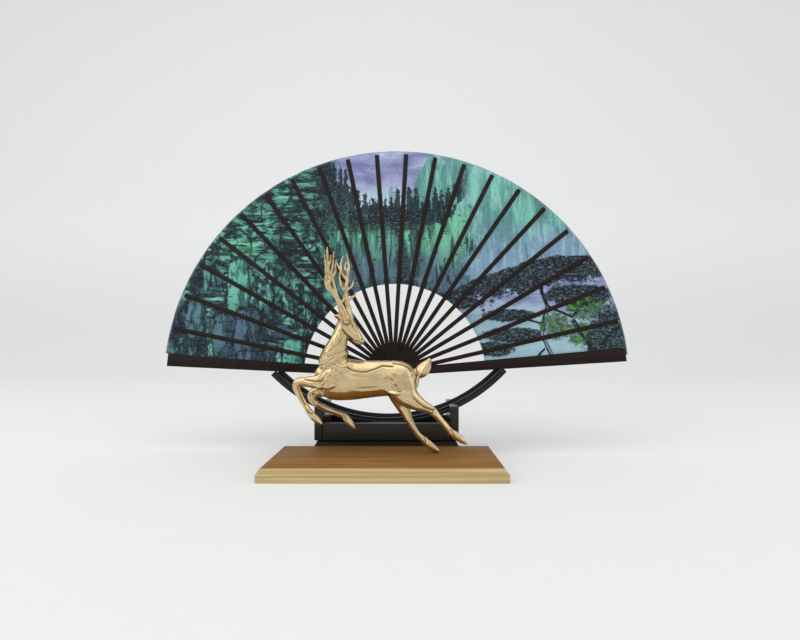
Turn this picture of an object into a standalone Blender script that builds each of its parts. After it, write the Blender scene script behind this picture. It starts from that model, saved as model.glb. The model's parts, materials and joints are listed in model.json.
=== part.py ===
"""A folding fan in a cradle stand, with a leaping stag on a board in front of it.

Origin at the centre of the board's underside, +X right, +Y to the back, +Z up.
"""
import math

import bmesh
import bpy
from mathutils import Matrix, Vector

MM = 0.001

# Clearances
REST_GAP = 0.3 * MM        # between two pieces that rest on each other
LAYER_GAP = 0.125 * MM     # between neighbouring layers of the fan
BORE_GAP = 0.15 * MM       # between a pin and its bore, on the radius

# Board
BOARD_WIDTH = 253.5 * MM
BOARD_DEPTH = 132.0 * MM
BOARD_THICKNESS = 14.2 * MM
CHAMFER_RUN = 4.0 * MM
CHAMFER_DROP = 6.0 * MM

# Stand
STAND_WIDTH = 175.6 * MM
STAND_DEPTH = 90.0 * MM
FOOT_HEIGHT = 19.7 * MM
FOOT_FLARE = 3.5 * MM
FOOT_FLARE_START = 13.0 * MM
RAIL_HEIGHT = 21.0 * MM
RAIL_THICKNESS = 10.0 * MM
END_PLATE_THICKNESS = 10.0 * MM
HORN_TOP = 61.6 * MM

# Cradle
CRADLE_RADIUS = 205.0 * MM
CRADLE_BOTTOM = 36.0 * MM
CRADLE_FLOOR = 4.0 * MM
FRONT_FLANGE = 8.0 * MM
REAR_FLANGE = 9.3 * MM
FLANGE_THICKNESS = 4.0 * MM
CHANNEL_CLEARANCE = 0.9 * MM
CRADLE_STEPS = 44

# Fan
PIVOT_X = 7.6 * MM
PIVOT_HEIGHT = 99.5 * MM
LEAN = math.radians(7.3)
RIB_COUNT = 20
CENTRE_ANGLE = 90.7
RIB_STEP = 7.68              # degrees between the two middle ribs
RIB_SPREAD = 0.00072         # how the steps widen towards the guards
LEFT_GUARD_STEP = 8.0
RIGHT_GUARD_STEP = 8.6
RIB_LENGTH = 296.0 * MM
RIB_TIP_WIDTH = 5.8 * MM
RIB_NECK_WIDTH = 5.3 * MM
RIB_NECK_RADIUS = 40.0 * MM
RIB_HEAD_WIDTH = 7.0 * MM
RIB_TAIL = 11.0 * MM
RIB_THICKNESS = 0.6 * MM
RIB_TIP_CHAMFER = 0.6 * MM
GUARD_LENGTH = 297.0 * MM
GUARD_TIP_WIDTH = 17.5 * MM
GUARD_HEAD_WIDTH = 8.6 * MM
GUARD_TAIL = 18.0 * MM
GUARD_THICKNESS = 2.4 * MM
LEAF_INNER_RADIUS = 117.0 * MM
LEAF_OUTER_RADIUS = 300.0 * MM
LEAF_THICKNESS = 0.15 * MM
LEAF_TUCK = 0.35
LEAF_GUARD_TUCK = 1.2 * MM
RIVET_RADIUS = 1.5 * MM
RIVET_HEAD_RADIUS = 3.6 * MM
RIVET_HEAD_HEIGHT = 1.4 * MM
WASHER_THICKNESS = 0.8 * MM

# Joining dowels and hoof stud
DOWEL_RADIUS = 3.0 * MM
DOWEL_LENGTH = 24.0 * MM
DOWEL_SPACING = 120.0 * MM
STUD_RADIUS = 1.1 * MM
STUD_DEPTH = 9.0 * MM
STUD_RISE = 4.2 * MM

# Stag: where the tip of its standing hoof meets the board
HOOF_X = 62.8 * MM
STAG_Y = 10.0 * MM
LEG_SPREAD = 9.5 * MM

# What follows from the sizes above
STAND_FRONT = BOARD_DEPTH / 2 + REST_GAP
STAND_BACK = STAND_FRONT + STAND_DEPTH
STAND_MIDDLE = (STAND_FRONT + STAND_BACK) / 2
DECK = FOOT_HEIGHT + REST_GAP
CRADLE_CENTRE = CRADLE_BOTTOM + CRADLE_RADIUS
LAYER_PITCH = RIB_THICKNESS + LEAF_THICKNESS + 2 * LAYER_GAP
PIVOT = Vector((PIVOT_X, STAND_MIDDLE, PIVOT_HEIGHT))


def rib_back(index):
    """Where the back face of rib number index lies along the rivet."""
    return (index - (RIB_COUNT + 1) / 2) * LAYER_PITCH - RIB_THICKNESS / 2


def leaf_back(index):
    """The back face of the leaf panel that is glued behind rib number index."""
    return rib_back(index) - LAYER_GAP - LEAF_THICKNESS


FIRST_LEAF_BACK = leaf_back(1) - LAYER_GAP - LEAF_THICKNESS
LEFT_GUARD_FRONT = FIRST_LEAF_BACK - LAYER_GAP
LEFT_GUARD_BACK = LEFT_GUARD_FRONT - GUARD_THICKNESS
RIGHT_GUARD_BACK = rib_back(RIB_COUNT) + RIB_THICKNESS + LAYER_GAP
RIGHT_GUARD_FRONT = RIGHT_GUARD_BACK + GUARD_THICKNESS


def rib_angle(index):
    """The angle of rib number index above the right-hand horizontal, in degrees."""
    place = (RIB_COUNT + 1) / 2 - index
    return CENTRE_ANGLE + RIB_STEP * place * (1 + RIB_SPREAD * place * place)


LEFT_GUARD_ANGLE = rib_angle(1) + LEFT_GUARD_STEP
RIGHT_GUARD_ANGLE = rib_angle(RIB_COUNT) - RIGHT_GUARD_STEP


def clear_scene():
    for item in list(bpy.data.objects):
        bpy.data.objects.remove(item, do_unlink=True)


def material(name, colour, roughness, metallic=0.0):
    """A plain Principled material, made once for each name."""
    found = bpy.data.materials.get(name)
    if found:
        return found
    made = bpy.data.materials.new(name)
    made.use_nodes = True
    shader = made.node_tree.nodes["Principled BSDF"]
    shader.inputs["Base Color"].default_value = (*colour, 1.0)
    shader.inputs["Roughness"].default_value = roughness
    shader.inputs["Metallic"].default_value = metallic
    made.diffuse_color = (*colour, 1.0)
    return made


def lacquer():
    return material("black_lacquer", (0.022, 0.020, 0.017), 0.42)


def stained_wood():
    return material("stained_wood", (0.020, 0.013, 0.011), 0.55)


def board_wood():
    return material("board_wood", (0.34, 0.17, 0.045), 0.5)


def painted_leaf():
    return material("painted_leaf", (0.10, 0.27, 0.24), 0.8)


def gold():
    return material("champagne_gold", (0.78, 0.60, 0.32), 0.2, 1.0)


def steel():
    return material("plain_steel", (0.55, 0.54, 0.52), 0.35, 1.0)


def finish(name, bm, surface, parent=None, angle=0.0, smooth=False):
    """Turn a bmesh into a named object; angle turns it about the rivet, in degrees."""
    bmesh.ops.recalc_face_normals(bm, faces=bm.faces[:])
    mesh = bpy.data.meshes.new(name)
    bm.to_mesh(mesh)
    bm.free()
    mesh.materials.append(surface)
    if smooth:
        mesh.shade_smooth()
        mesh.set_sharp_from_angle(angle=math.radians(40))
    made = bpy.data.objects.new(name, mesh)
    bpy.context.scene.collection.objects.link(made)
    if parent:
        made.parent = parent
    made.rotation_euler = (0.0, 0.0, math.radians(angle))
    return made


def hide_cutter(cutter):
    cutter.hide_render = True
    cutter.display_type = "WIRE"


def cut(target, cutter):
    hide_cutter(cutter)
    modifier = target.modifiers.new("cut_" + cutter.name, "BOOLEAN")
    modifier.operation = "DIFFERENCE"
    modifier.solver = "EXACT"
    modifier.object = cutter


def soften(target, width, segments=1):
    modifier = target.modifiers.new("soft_edges", "BEVEL")
    modifier.width = width
    modifier.segments = segments
    modifier.limit_method = "ANGLE"
    modifier.angle_limit = math.radians(50)


def box(bm, low, high):
    """A block between two corners."""
    centre = (Vector(low) + Vector(high)) / 2
    size = Vector(high) - Vector(low)
    place = Matrix.Translation(centre) @ Matrix.Diagonal((*size, 1.0))
    bmesh.ops.create_cube(bm, size=1.0, matrix=place)


def rod(bm, start, end, radius, sides=24):
    """A straight round rod between two points."""
    run = Vector(end) - Vector(start)
    turn = run.to_track_quat("Z", "Y").to_matrix().to_4x4()
    place = Matrix.Translation((Vector(start) + Vector(end)) / 2) @ turn
    bmesh.ops.create_cone(bm, cap_ends=True, segments=sides, radius1=radius, radius2=radius,
                          depth=run.length, matrix=place)


def stacked_rectangles(bm, layers):
    """A block whose outline changes with height; a layer is (half width, front, back, height)."""
    rings = []
    for half, front, back, height in layers:
        corners = ((-half, front), (half, front), (half, back), (-half, back))
        rings.append([bm.verts.new((x, y, height)) for x, y in corners])
    bm.faces.new(rings[0])
    bm.faces.new(rings[-1])
    for lower, upper in zip(rings, rings[1:]):
        for i in range(4):
            j = (i + 1) % 4
            bm.faces.new((lower[i], lower[j], upper[j], upper[i]))


def slab(bm, outline, back, thickness):
    """A flat outline in the local XY plane, given a thickness from back upwards."""
    face = bm.faces.new([bm.verts.new((x, y, back)) for x, y in outline])
    grown = bmesh.ops.extrude_face_region(bm, geom=[face])
    moved = [item for item in grown["geom"] if isinstance(item, bmesh.types.BMVert)]
    bmesh.ops.translate(bm, verts=moved, vec=(0.0, 0.0, thickness))


def arc(radius, start, end, steps, centre=(0.0, 0.0)):
    """Points along an arc in a plane, angles in degrees."""
    points = []
    for step in range(steps + 1):
        angle = math.radians(start + (end - start) * step / steps)
        points.append((centre[0] + radius * math.cos(angle), centre[1] + radius * math.sin(angle)))
    return points


# Board -------------------------------------------------------------------------------------------

def make_board():
    bm = bmesh.new()
    half = BOARD_WIDTH / 2
    deep = BOARD_DEPTH / 2
    shoulder = BOARD_THICKNESS - CHAMFER_DROP
    stacked_rectangles(bm, (
        (half, -deep, deep, 0.0),
        (half, -deep, deep, shoulder),
        (half - CHAMFER_RUN, CHAMFER_RUN - deep, deep - CHAMFER_RUN, BOARD_THICKNESS),
    ))
    return finish("base_board", bm, board_wood())


# Stand -------------------------------------------------------------------------------------------

def make_foot():
    bm = bmesh.new()
    half = STAND_WIDTH / 2
    stacked_rectangles(bm, (
        (half, STAND_FRONT, STAND_BACK, 0.0),
        (half, STAND_FRONT, STAND_BACK, FOOT_FLARE_START),
        (half - FOOT_FLARE, STAND_FRONT + FOOT_FLARE, STAND_BACK - FOOT_FLARE, FOOT_HEIGHT),
    ))
    return finish("stand_foot", bm, lacquer())


def make_rails():
    half = STAND_WIDTH / 2 - END_PLATE_THICKNESS - REST_GAP
    top = DECK + RAIL_HEIGHT
    for name, front in (("front_rail", STAND_FRONT), ("rear_rail", STAND_BACK - RAIL_THICKNESS)):
        bm = bmesh.new()
        box(bm, (-half, front, DECK), (half, front + RAIL_THICKNESS, top))
        soften(finish(name, bm, lacquer()), 0.8 * MM)


# Where a guard's lower edge meets the cradle -----------------------------------------------------

def guard_half_width(radius):
    share = max(radius, 0.0) / GUARD_LENGTH
    return (GUARD_HEAD_WIDTH + (GUARD_TIP_WIDTH - GUARD_HEAD_WIDTH) * share) / 2


def guard_edge_height(x, side):
    """Height of the guard's lowest edge above world x; side is -1 for the left guard."""
    tilt = math.radians(RIGHT_GUARD_ANGLE if side > 0 else 180.0 - LEFT_GUARD_ANGLE)
    layer = RIGHT_GUARD_BACK if side > 0 else LEFT_GUARD_BACK
    radius = abs(x - PIVOT_X) / math.cos(tilt)
    rise = radius * math.sin(tilt) - guard_half_width(radius) / math.cos(tilt)
    return PIVOT_HEIGHT + rise * math.cos(LEAN) + layer * math.sin(LEAN)


def cradle_end_angle(side):
    """How far the cradle runs from its lowest point until its floor meets the guard, in radians."""
    floor_radius = CRADLE_RADIUS - CRADLE_FLOOR
    low = math.radians(20.0)
    high = math.radians(75.0)
    for _ in range(60):
        middle = (low + high) / 2
        height = CRADLE_CENTRE - floor_radius * math.cos(middle)
        room = guard_edge_height(side * floor_radius * math.sin(middle), side) - REST_GAP
        if height < room:
            low = middle
        else:
            high = middle
    return low


def channel_front():
    """World Y of the channel's front wall, just in front of the right guard."""
    return STAND_MIDDLE - RIGHT_GUARD_FRONT - CHANNEL_CLEARANCE


def channel_back():
    """World Y of the channel's back wall, behind the left guard where it leans back furthest."""
    flange_top = CRADLE_CENTRE - (CRADLE_RADIUS - REAR_FLANGE) * math.cos(cradle_end_angle(-1))
    lean_room = (flange_top - PIVOT_HEIGHT) * math.tan(LEAN)
    return STAND_MIDDLE - LEFT_GUARD_BACK + lean_room + CHANNEL_CLEARANCE


def make_end_plates():
    bm = bmesh.new()
    front = channel_front() - FLANGE_THICKNESS - REST_GAP
    back = channel_back() + FLANGE_THICKNESS + REST_GAP
    rod(bm, (0.0, front, CRADLE_CENTRE), (0.0, back, CRADLE_CENTRE), CRADLE_RADIUS + REST_GAP, 360)
    saddle = finish("saddle_cutter", bm, lacquer())
    for name, side in (("left_end_plate", -1), ("right_end_plate", 1)):
        bm = bmesh.new()
        outer = side * STAND_WIDTH / 2
        inner = side * (STAND_WIDTH / 2 - END_PLATE_THICKNESS)
        box(bm, (min(inner, outer), STAND_FRONT, DECK), (max(inner, outer), STAND_BACK, HORN_TOP))
        plate = finish(name, bm, lacquer())
        soften(plate, 0.8 * MM)
        cut(plate, saddle)


def make_cradle():
    """A channel bent along an arc, built up from a floor and two lips glued to its sides; the
    guards' lower edges lie in it at its two ends."""
    left = cradle_end_angle(-1)
    right = cradle_end_angle(1)
    front = channel_front()
    back = channel_back()
    for name, height, low, high in (
            ("cradle_floor", CRADLE_FLOOR, front + REST_GAP, back - REST_GAP),
            ("cradle_front_lip", FRONT_FLANGE, front - FLANGE_THICKNESS, front),
            ("cradle_rear_lip", REAR_FLANGE, back, back + FLANGE_THICKNESS)):
        bm = bmesh.new()
        corners = ((low, 0.0), (high, 0.0), (high, height), (low, height))
        face = bm.faces.new([bm.verts.new((0.0, y, CRADLE_BOTTOM + inset)) for y, inset in corners])
        centre = Vector((0.0, 0.0, CRADLE_CENTRE))
        bmesh.ops.rotate(bm, verts=bm.verts[:], cent=centre, matrix=Matrix.Rotation(left, 3, "Y"))
        bmesh.ops.spin(bm, geom=[face], cent=centre, axis=(0.0, -1.0, 0.0), angle=left + right,
                       steps=CRADLE_STEPS, use_merge=False)
        finish(name, bm, lacquer(), smooth=True)


# Fan ---------------------------------------------------------------------------------------------

def make_fan_frame():
    """An empty at the pivot: local X to the right, local Y up the leaning fan, local Z forwards."""
    frame = bpy.data.objects.new("fan_frame", None)
    bpy.context.scene.collection.objects.link(frame)
    frame.location = PIVOT
    frame.rotation_euler = (math.pi / 2 - LEAN, 0.0, 0.0)
    return frame


def make_rivet_bore(frame):
    bm = bmesh.new()
    reach = RIGHT_GUARD_FRONT - LEFT_GUARD_BACK
    rod(bm, (0.0, 0.0, -reach), (0.0, 0.0, reach), RIVET_RADIUS + BORE_GAP)
    return finish("rivet_bore_cutter", bm, steel(), frame)


def rib_outline():
    """A slim stick along +X with a round tail behind the pivot."""
    head = RIB_HEAD_WIDTH / 2
    neck = RIB_NECK_WIDTH / 2
    tip = RIB_TIP_WIDTH / 2
    tail = arc(head, 90, 270, 8, (head - RIB_TAIL, 0.0))
    return tail + [
        (RIB_TAIL - head, -head),
        (RIB_NECK_RADIUS, -neck),
        (RIB_LENGTH - RIB_TIP_CHAMFER, -tip),
        (RIB_LENGTH, RIB_TIP_CHAMFER - tip),
        (RIB_LENGTH, tip - RIB_TIP_CHAMFER),
        (RIB_LENGTH - RIB_TIP_CHAMFER, tip),
        (RIB_NECK_RADIUS, neck),
        (RIB_TAIL - head, head),
    ]


def guard_outline():
    """A wide stick along +X that grows from the pivot to a square tip."""
    head = GUARD_HEAD_WIDTH / 2
    tip = GUARD_TIP_WIDTH / 2
    tail = arc(head, 90, 270, 8, (head - GUARD_TAIL, 0.0))
    return tail + [(0.0, -head), (GUARD_LENGTH, -tip), (GUARD_LENGTH, tip), (0.0, head)]


def make_stick(name, outline, back, thickness, angle, frame, bore):
    bm = bmesh.new()
    slab(bm, outline, back, thickness)
    stick = finish(name, bm, stained_wood(), frame, angle)
    cut(stick, bore)
    return stick


def make_leaf_panel(name, back, angle, start_inner, start_outer, end, frame):
    """A leaf panel in its left-hand stick's frame, running clockwise under the next stick."""
    bm = bmesh.new()
    rim = arc(LEAF_OUTER_RADIUS, start_outer, end, 4)
    inner = arc(LEAF_INNER_RADIUS, end, start_inner, 3)
    slab(bm, rim + inner, back, LEAF_THICKNESS)
    return finish(name, bm, painted_leaf(), frame, angle)


def make_rivet(frame):
    """Shank with a domed head in front and a smaller one behind the washer."""
    front = RIGHT_GUARD_FRONT + BORE_GAP
    washer_front = LEFT_GUARD_BACK - BORE_GAP
    washer_back = washer_front - WASHER_THICKNESS
    back = washer_back - BORE_GAP
    peen_radius = (RIVET_HEAD_RADIUS + RIVET_RADIUS) / 2
    profile = [(0.0, front + RIVET_HEAD_HEIGHT)]
    for step in range(1, 5):
        swing = math.radians(90 * step / 4)
        profile.append((RIVET_HEAD_RADIUS * math.sin(swing),
                        front + RIVET_HEAD_HEIGHT * math.cos(swing)))
    profile += [(RIVET_RADIUS, front), (RIVET_RADIUS, back), (peen_radius, back)]
    profile += [(peen_radius * 0.7, back - RIVET_HEAD_HEIGHT * 0.45)]
    profile += [(0.0, back - RIVET_HEAD_HEIGHT * 0.6)]
    finish("rivet", turned(profile), steel(), frame, smooth=True)
    bm = bmesh.new()
    rod(bm, (0.0, 0.0, washer_back), (0.0, 0.0, washer_front), RIVET_HEAD_RADIUS)
    washer = finish("rivet_washer", bm, steel(), frame, smooth=True)
    return washer


def turned(profile, sides=24):
    """Spin a half profile of (radius, height) points about the local Z axis."""
    bm = bmesh.new()
    points = [bm.verts.new((radius, 0.0, height)) for radius, height in profile]
    edges = [bm.edges.new(pair) for pair in zip(points, points[1:])]
    bmesh.ops.spin(bm, geom=points + edges, cent=(0.0, 0.0, 0.0), axis=(0.0, 0.0, 1.0),
                   angle=2 * math.pi, steps=sides, use_merge=True)
    bmesh.ops.remove_doubles(bm, verts=bm.verts[:], dist=0.00001)
    return bm


def make_fan():
    frame = make_fan_frame()
    bore = make_rivet_bore(frame)
    make_stick("guard_left", guard_outline(), LEFT_GUARD_BACK, GUARD_THICKNESS,
               LEFT_GUARD_ANGLE, frame, bore)
    edge_inner = guard_half_width(LEAF_INNER_RADIUS) - LEAF_GUARD_TUCK
    edge_outer = guard_half_width(LEAF_OUTER_RADIUS) - LEAF_GUARD_TUCK
    start_inner = -math.degrees(math.asin(edge_inner / LEAF_INNER_RADIUS))
    start_outer = -math.degrees(math.asin(edge_outer / LEAF_OUTER_RADIUS))
    make_leaf_panel("leaf_panel_01", FIRST_LEAF_BACK, LEFT_GUARD_ANGLE, start_inner, start_outer,
                    -LEFT_GUARD_STEP - LEAF_TUCK, frame)
    for index in range(1, RIB_COUNT + 1):
        make_stick(f"rib_{index:02d}", rib_outline(), rib_back(index), RIB_THICKNESS,
                   rib_angle(index), frame, bore)
        following = rib_angle(index + 1) if index < RIB_COUNT else RIGHT_GUARD_ANGLE
        gap = rib_angle(index) - following
        make_leaf_panel(f"leaf_panel_{index + 1:02d}", leaf_back(index), rib_angle(index),
                        LEAF_TUCK, LEAF_TUCK, -gap - LEAF_TUCK, frame)
    make_stick("guard_right", guard_outline(), RIGHT_GUARD_BACK, GUARD_THICKNESS,
               RIGHT_GUARD_ANGLE, frame, bore)
    washer = make_rivet(frame)
    cut(washer, bore)


# Stag --------------------------------------------------------------------------------------------
# A station is (x, z, y, half height, half width) in millimetres from the standing hoof's tip, with
# y counted from the stag's middle plane towards the back.

NEAR = -LEG_SPREAD / MM
FAR = LEG_SPREAD / MM

TORSO = (
    (-140, 92.5, 0, 8, 8),
    (-135, 88.5, 0, 17, 13),
    (-123, 84.5, 0, 23, 16.5),
    (-103, 83.5, 0, 23, 16.5),
    (-81.5, 84, 0, 21, 15),
    (-62.5, 85, 0, 20, 14.5),
    (-47, 84.5, 0, 20, 16),
    (-36, 82.5, 0, 16, 14),
    (-30, 81.5, 0, 10, 9),
)
NECK = (
    (-117, 90.5, 0, 18, 14),
    (-120, 104.5, 0, 17, 12),
    (-118, 116, 0, 13.5, 9.5),
    (-114.5, 127, 0, 10, 7.5),
    (-111, 138, 0, 8.6, 7),
    (-109, 145, 0, 8, 7),
)
HEAD = (
    (-112.5, 152, 0, 4.5, 4),
    (-109, 149, 0, 9, 7.4),
    (-103, 142.5, 0, 8.6, 7),
    (-97.5, 136, 0, 6.6, 5.2),
    (-92, 130, 0, 5, 4.2),
    (-89, 127, 0, 3.4, 3.2),
)
TAIL = (
    (-36, 88.5, 0, 6, 6),
    (-27.5, 90, 0, 6.4, 5.6),
    (-21, 94, 0, 7.8, 6),
    (-16.5, 99.5, 0, 6.4, 5.2),
    (-12.5, 106, 0, 2.4, 2.4),
)
NEAR_FORELEG = (
    (-120, 83, -6, 15, 7),
    (-135.5, 81.5, NEAR, 8.5, 6),
    (-149, 81.5, NEAR, 5.8, 4.8),
    (-159, 81, NEAR, 4.8, 4),
    (-160, 74.5, NEAR, 4.2, 3.6),
    (-155, 64, NEAR, 3.5, 3.1),
    (-148.5, 53, NEAR, 3.3, 3),
    (-144.5, 47, NEAR, 3.9, 3.6),
)
NEAR_FOREHOOF = (
    (-146, 49, NEAR, 2.8, 2.8),
    (-142.5, 44.5, NEAR, 4.3, 4),
    (-137, 39.5, NEAR, 3.8, 3.6),
    (-131.5, 35, NEAR, 1.4, 2),
)
FAR_FORELEG = (
    (-122, 78, 6, 13, 7),
    (-136, 70, FAR, 7.5, 5.6),
    (-146, 67, FAR, 4.8, 4.2),
    (-145.5, 60, FAR, 4.2, 3.7),
    (-136, 52.5, FAR, 3.6, 3.2),
    (-120, 45.5, FAR, 3.2, 3),
    (-110, 42, FAR, 3.4, 3.1),
    (-107, 40, FAR, 3.9, 3.6),
)
FAR_FOREHOOF = (
    (-109.5, 41, FAR, 2.8, 2.8),
    (-106, 37.5, FAR, 4.2, 4),
    (-101.5, 32, FAR, 3.7, 3.5),
    (-97, 27, FAR, 1.4, 2),
)
NEAR_HINDLEG = (
    (-51.5, 87, -4, 17, 9),
    (-44, 76.5, -8, 17, 9.5),
    (-36, 64.5, NEAR, 12.5, 8),
    (-24.5, 57, NEAR, 8, 6),
    (-13.5, 52, NEAR, 5.2, 4.4),
    (-8, 47.5, NEAR, 4.6, 3.9),
    (0, 38.5, NEAR, 3.6, 3.2),
    (7.5, 29.5, NEAR, 3.4, 3),
    (11.5, 25, NEAR, 4.1, 3.6),
)
NEAR_HINDHOOF = (
    (9.5, 27, NEAR, 2.8, 2.8),
    (14.5, 23.5, NEAR, 4.4, 4),
    (21.5, 18, NEAR, 4.2, 3.8),
    (28, 13, NEAR, 1.4, 2),
)
FAR_HINDLEG = (
    (-50, 80, 4, 15, 9),
    (-47, 66, 8, 12, 8.5),
    (-43, 54, FAR, 8.5, 6.5),
    (-38, 42, FAR, 5.4, 4.6),
    (-33, 32, FAR, 4, 3.5),
    (-26, 21, FAR, 3.5, 3.1),
    (-20, 15.5, FAR, 3.5, 3.2),
    (-17, 13.5, FAR, 4, 3.6),
)
FAR_HINDHOOF = (
    (-19.5, 14.5, FAR, 2.8, 2.8),
    (-15, 10.8, FAR, 4.6, 4),
    (-8, 5, FAR, 4.4, 4),
    (-2.5, 1.9, FAR, 2.4, 3),
)
NEAR_EAR = (
    (-112, 151, -6, 2.2, 2),
    (-116.5, 153.5, -9, 2.6, 1.4),
    (-121.5, 155.5, -11, 0.8, 0.7),
)
FAR_EAR = (
    (-110, 152, 6, 2.2, 2),
    (-112, 156, 10, 2.6, 1.4),
    (-115, 159, 13, 0.8, 0.7),
)
BODY_LIMBS = (TORSO, NECK, HEAD, TAIL, NEAR_FORELEG, NEAR_FOREHOOF, FAR_FORELEG, FAR_FOREHOOF,
              NEAR_HINDLEG, NEAR_HINDHOOF, FAR_HINDLEG, FAR_HINDHOOF, NEAR_EAR, FAR_EAR)

# An antler branch is a run of (x, z, y, radius)
NEAR_ANTLER = (
    ((-109, 153.6, -3, 1.9), (-110.5, 158.4, -4, 1.9), (-113.5, 168, -6, 1.7),
     (-118, 177.6, -8, 1.7), (-124, 184, -10, 1.8),
     (-127.5, 192, -11, 1.7), (-127.5, 207, -11, 1.4), (-128.5, 232, -11, 0.7)),
    ((-112.5, 166, -6, 1.4), (-107, 171, -8, 1.2), (-104.5, 177, -9, 0.7)),
    ((-127.5, 203, -11, 1.3), (-124, 213, -12, 1.1), (-121.5, 228, -13, 0.7)),
    ((-125.5, 186.5, -10, 1.5), (-132, 194, -12, 1.1), (-134.5, 205, -13, 0.7)),
    ((-119, 179, -8, 1.5), (-116.5, 190, -8, 1.2), (-117.5, 203, -8, 0.7)),
)
FAR_ANTLER = (
    ((-104.8, 153.4, 3, 1.9), (-106, 158.2, 4, 1.9), (-108.5, 168, 6, 1.7),
     (-110, 176, 7, 1.6), (-109.5, 187, 8, 1.5),
     (-108.5, 199, 9, 1.4), (-106.5, 211, 10, 1.1), (-107, 225, 10, 0.7)),
    ((-109.5, 175.5, 7, 1.3), (-103, 177.5, 8, 1.1), (-99, 183, 9, 0.7)),
    ((-109.5, 187, 8, 1.3), (-104.5, 190, 9, 1.1), (-102, 195.5, 10, 0.7)),
    ((-109.5, 186.5, 8, 1.3), (-114, 193, 10, 1.1), (-117.5, 200, 11, 0.7)),
    ((-108.5, 199, 9, 1.3), (-114, 207, 11, 1.1), (-119.5, 219, 13, 0.7)),
)


def stag_point(x, z, y):
    """A point given in millimetres from the standing hoof's tip, in world metres."""
    return Vector((HOOF_X + x * MM, STAG_Y + y * MM, BOARD_THICKNESS + REST_GAP + z * MM))


def spline(stations, steps):
    """Smooth stations in between the given ones, by a Catmull-Rom curve."""
    rows = [stations[0], *stations, stations[-1]]
    made = []
    for a, b, c, d in zip(rows, rows[1:], rows[2:], rows[3:]):
        for step in range(steps):
            t = step / steps
            made.append([0.5 * (2 * q + (r - p) * t + (2 * p - 5 * q + 4 * r - s) * t * t
                                + (3 * q - p - 3 * r + s) * t ** 3)
                         for p, q, r, s in zip(a, b, c, d)])
    made.append(list(stations[-1]))
    return made


def loft(bm, centres, tall, wide, sides):
    """A closed tube of oval rings; tall is the half height in the XZ plane, wide is across it."""
    rings = []
    for i, centre in enumerate(centres):
        before = centres[max(i - 1, 0)]
        after = centres[min(i + 1, len(centres) - 1)]
        along = (after - before).normalized()
        across = (Vector((0.0, 1.0, 0.0)) - along * along.y).normalized()
        up = along.cross(across)
        ring = []
        for k in range(sides):
            turn = 2 * math.pi * k / sides
            ring.append(bm.verts.new(centre + up * tall[i] * math.cos(turn)
                                     + across * wide[i] * math.sin(turn)))
        rings.append(ring)
    for first, second in zip(rings, rings[1:]):
        for k in range(sides):
            j = (k + 1) % sides
            bm.faces.new((first[k], first[j], second[j], second[k]))
    for end, inner in ((0, 1), (-1, -2)):
        ring = rings[end]
        outwards = (centres[end] - centres[inner]).normalized()
        tip = bm.verts.new(centres[end] + outwards * min(tall[end], wide[end]) * 0.6)
        for k in range(sides):
            bm.faces.new((ring[k], ring[(k + 1) % sides], tip))


def limb(bm, stations, steps=4, sides=14):
    rows = spline(stations, steps)
    centres = [stag_point(x, z, y) for x, z, y, _, _ in rows]
    loft(bm, centres, [row[3] * MM for row in rows], [row[4] * MM for row in rows], sides)


def melt_together(target, voxel, ratio):
    """Join the overlapping tubes into one skin, smooth it and thin its faces out."""
    melt = target.modifiers.new("melt", "REMESH")
    melt.mode = "VOXEL"
    melt.voxel_size = voxel
    relax = target.modifiers.new("relax", "SMOOTH")
    relax.factor = 0.5
    relax.iterations = 3
    thin = target.modifiers.new("thin", "DECIMATE")
    thin.ratio = ratio


def make_stag_body():
    bm = bmesh.new()
    for stations in BODY_LIMBS:
        limb(bm, stations)
    body = finish("stag_body", bm, gold(), smooth=True)
    melt_together(body, 1.1 * MM, 0.11)
    return body


def make_antlers(body):
    """Two branched antlers, each with its foot in a socket in the head."""
    for name, branches in (("near_antler", NEAR_ANTLER), ("far_antler", FAR_ANTLER)):
        bm = bmesh.new()
        for branch in branches:
            limb(bm, [(x, z, y, r, r) for x, z, y, r in branch], 3, 8)
        antler = finish(name, bm, gold(), smooth=True)
        melt_together(antler, 0.45 * MM, 0.12)
        foot, crown = [stag_point(x, z, y) for x, z, y, _ in branches[0][:2]]
        along = (crown - foot).normalized()
        radius = branches[0][0][3] * MM
        bm = bmesh.new()
        bottom = foot - along * (radius + REST_GAP)
        rod(bm, bottom, crown + along * radius, radius + REST_GAP / 2, 16)
        cut(body, finish(name + "_socket_cutter", bm, gold()))


def make_hoof_stud(board, body):
    """A stud up from the board into the standing hoof, with a bore in both."""
    foot = stag_point(-7.0, 0.0, FAR)
    low = foot - Vector((0.0, 0.0, REST_GAP + STUD_DEPTH))
    high = foot + Vector((0.0, 0.0, STUD_RISE))
    bm = bmesh.new()
    rod(bm, low, high, STUD_RADIUS, 16)
    finish("hoof_stud", bm, steel(), smooth=True)
    bm = bmesh.new()
    slack = Vector((0.0, 0.0, REST_GAP))
    rod(bm, low - slack, high + slack, STUD_RADIUS + BORE_GAP, 16)
    bore = finish("stud_bore_cutter", bm, steel())
    cut(board, bore)
    cut(body, bore)


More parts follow.
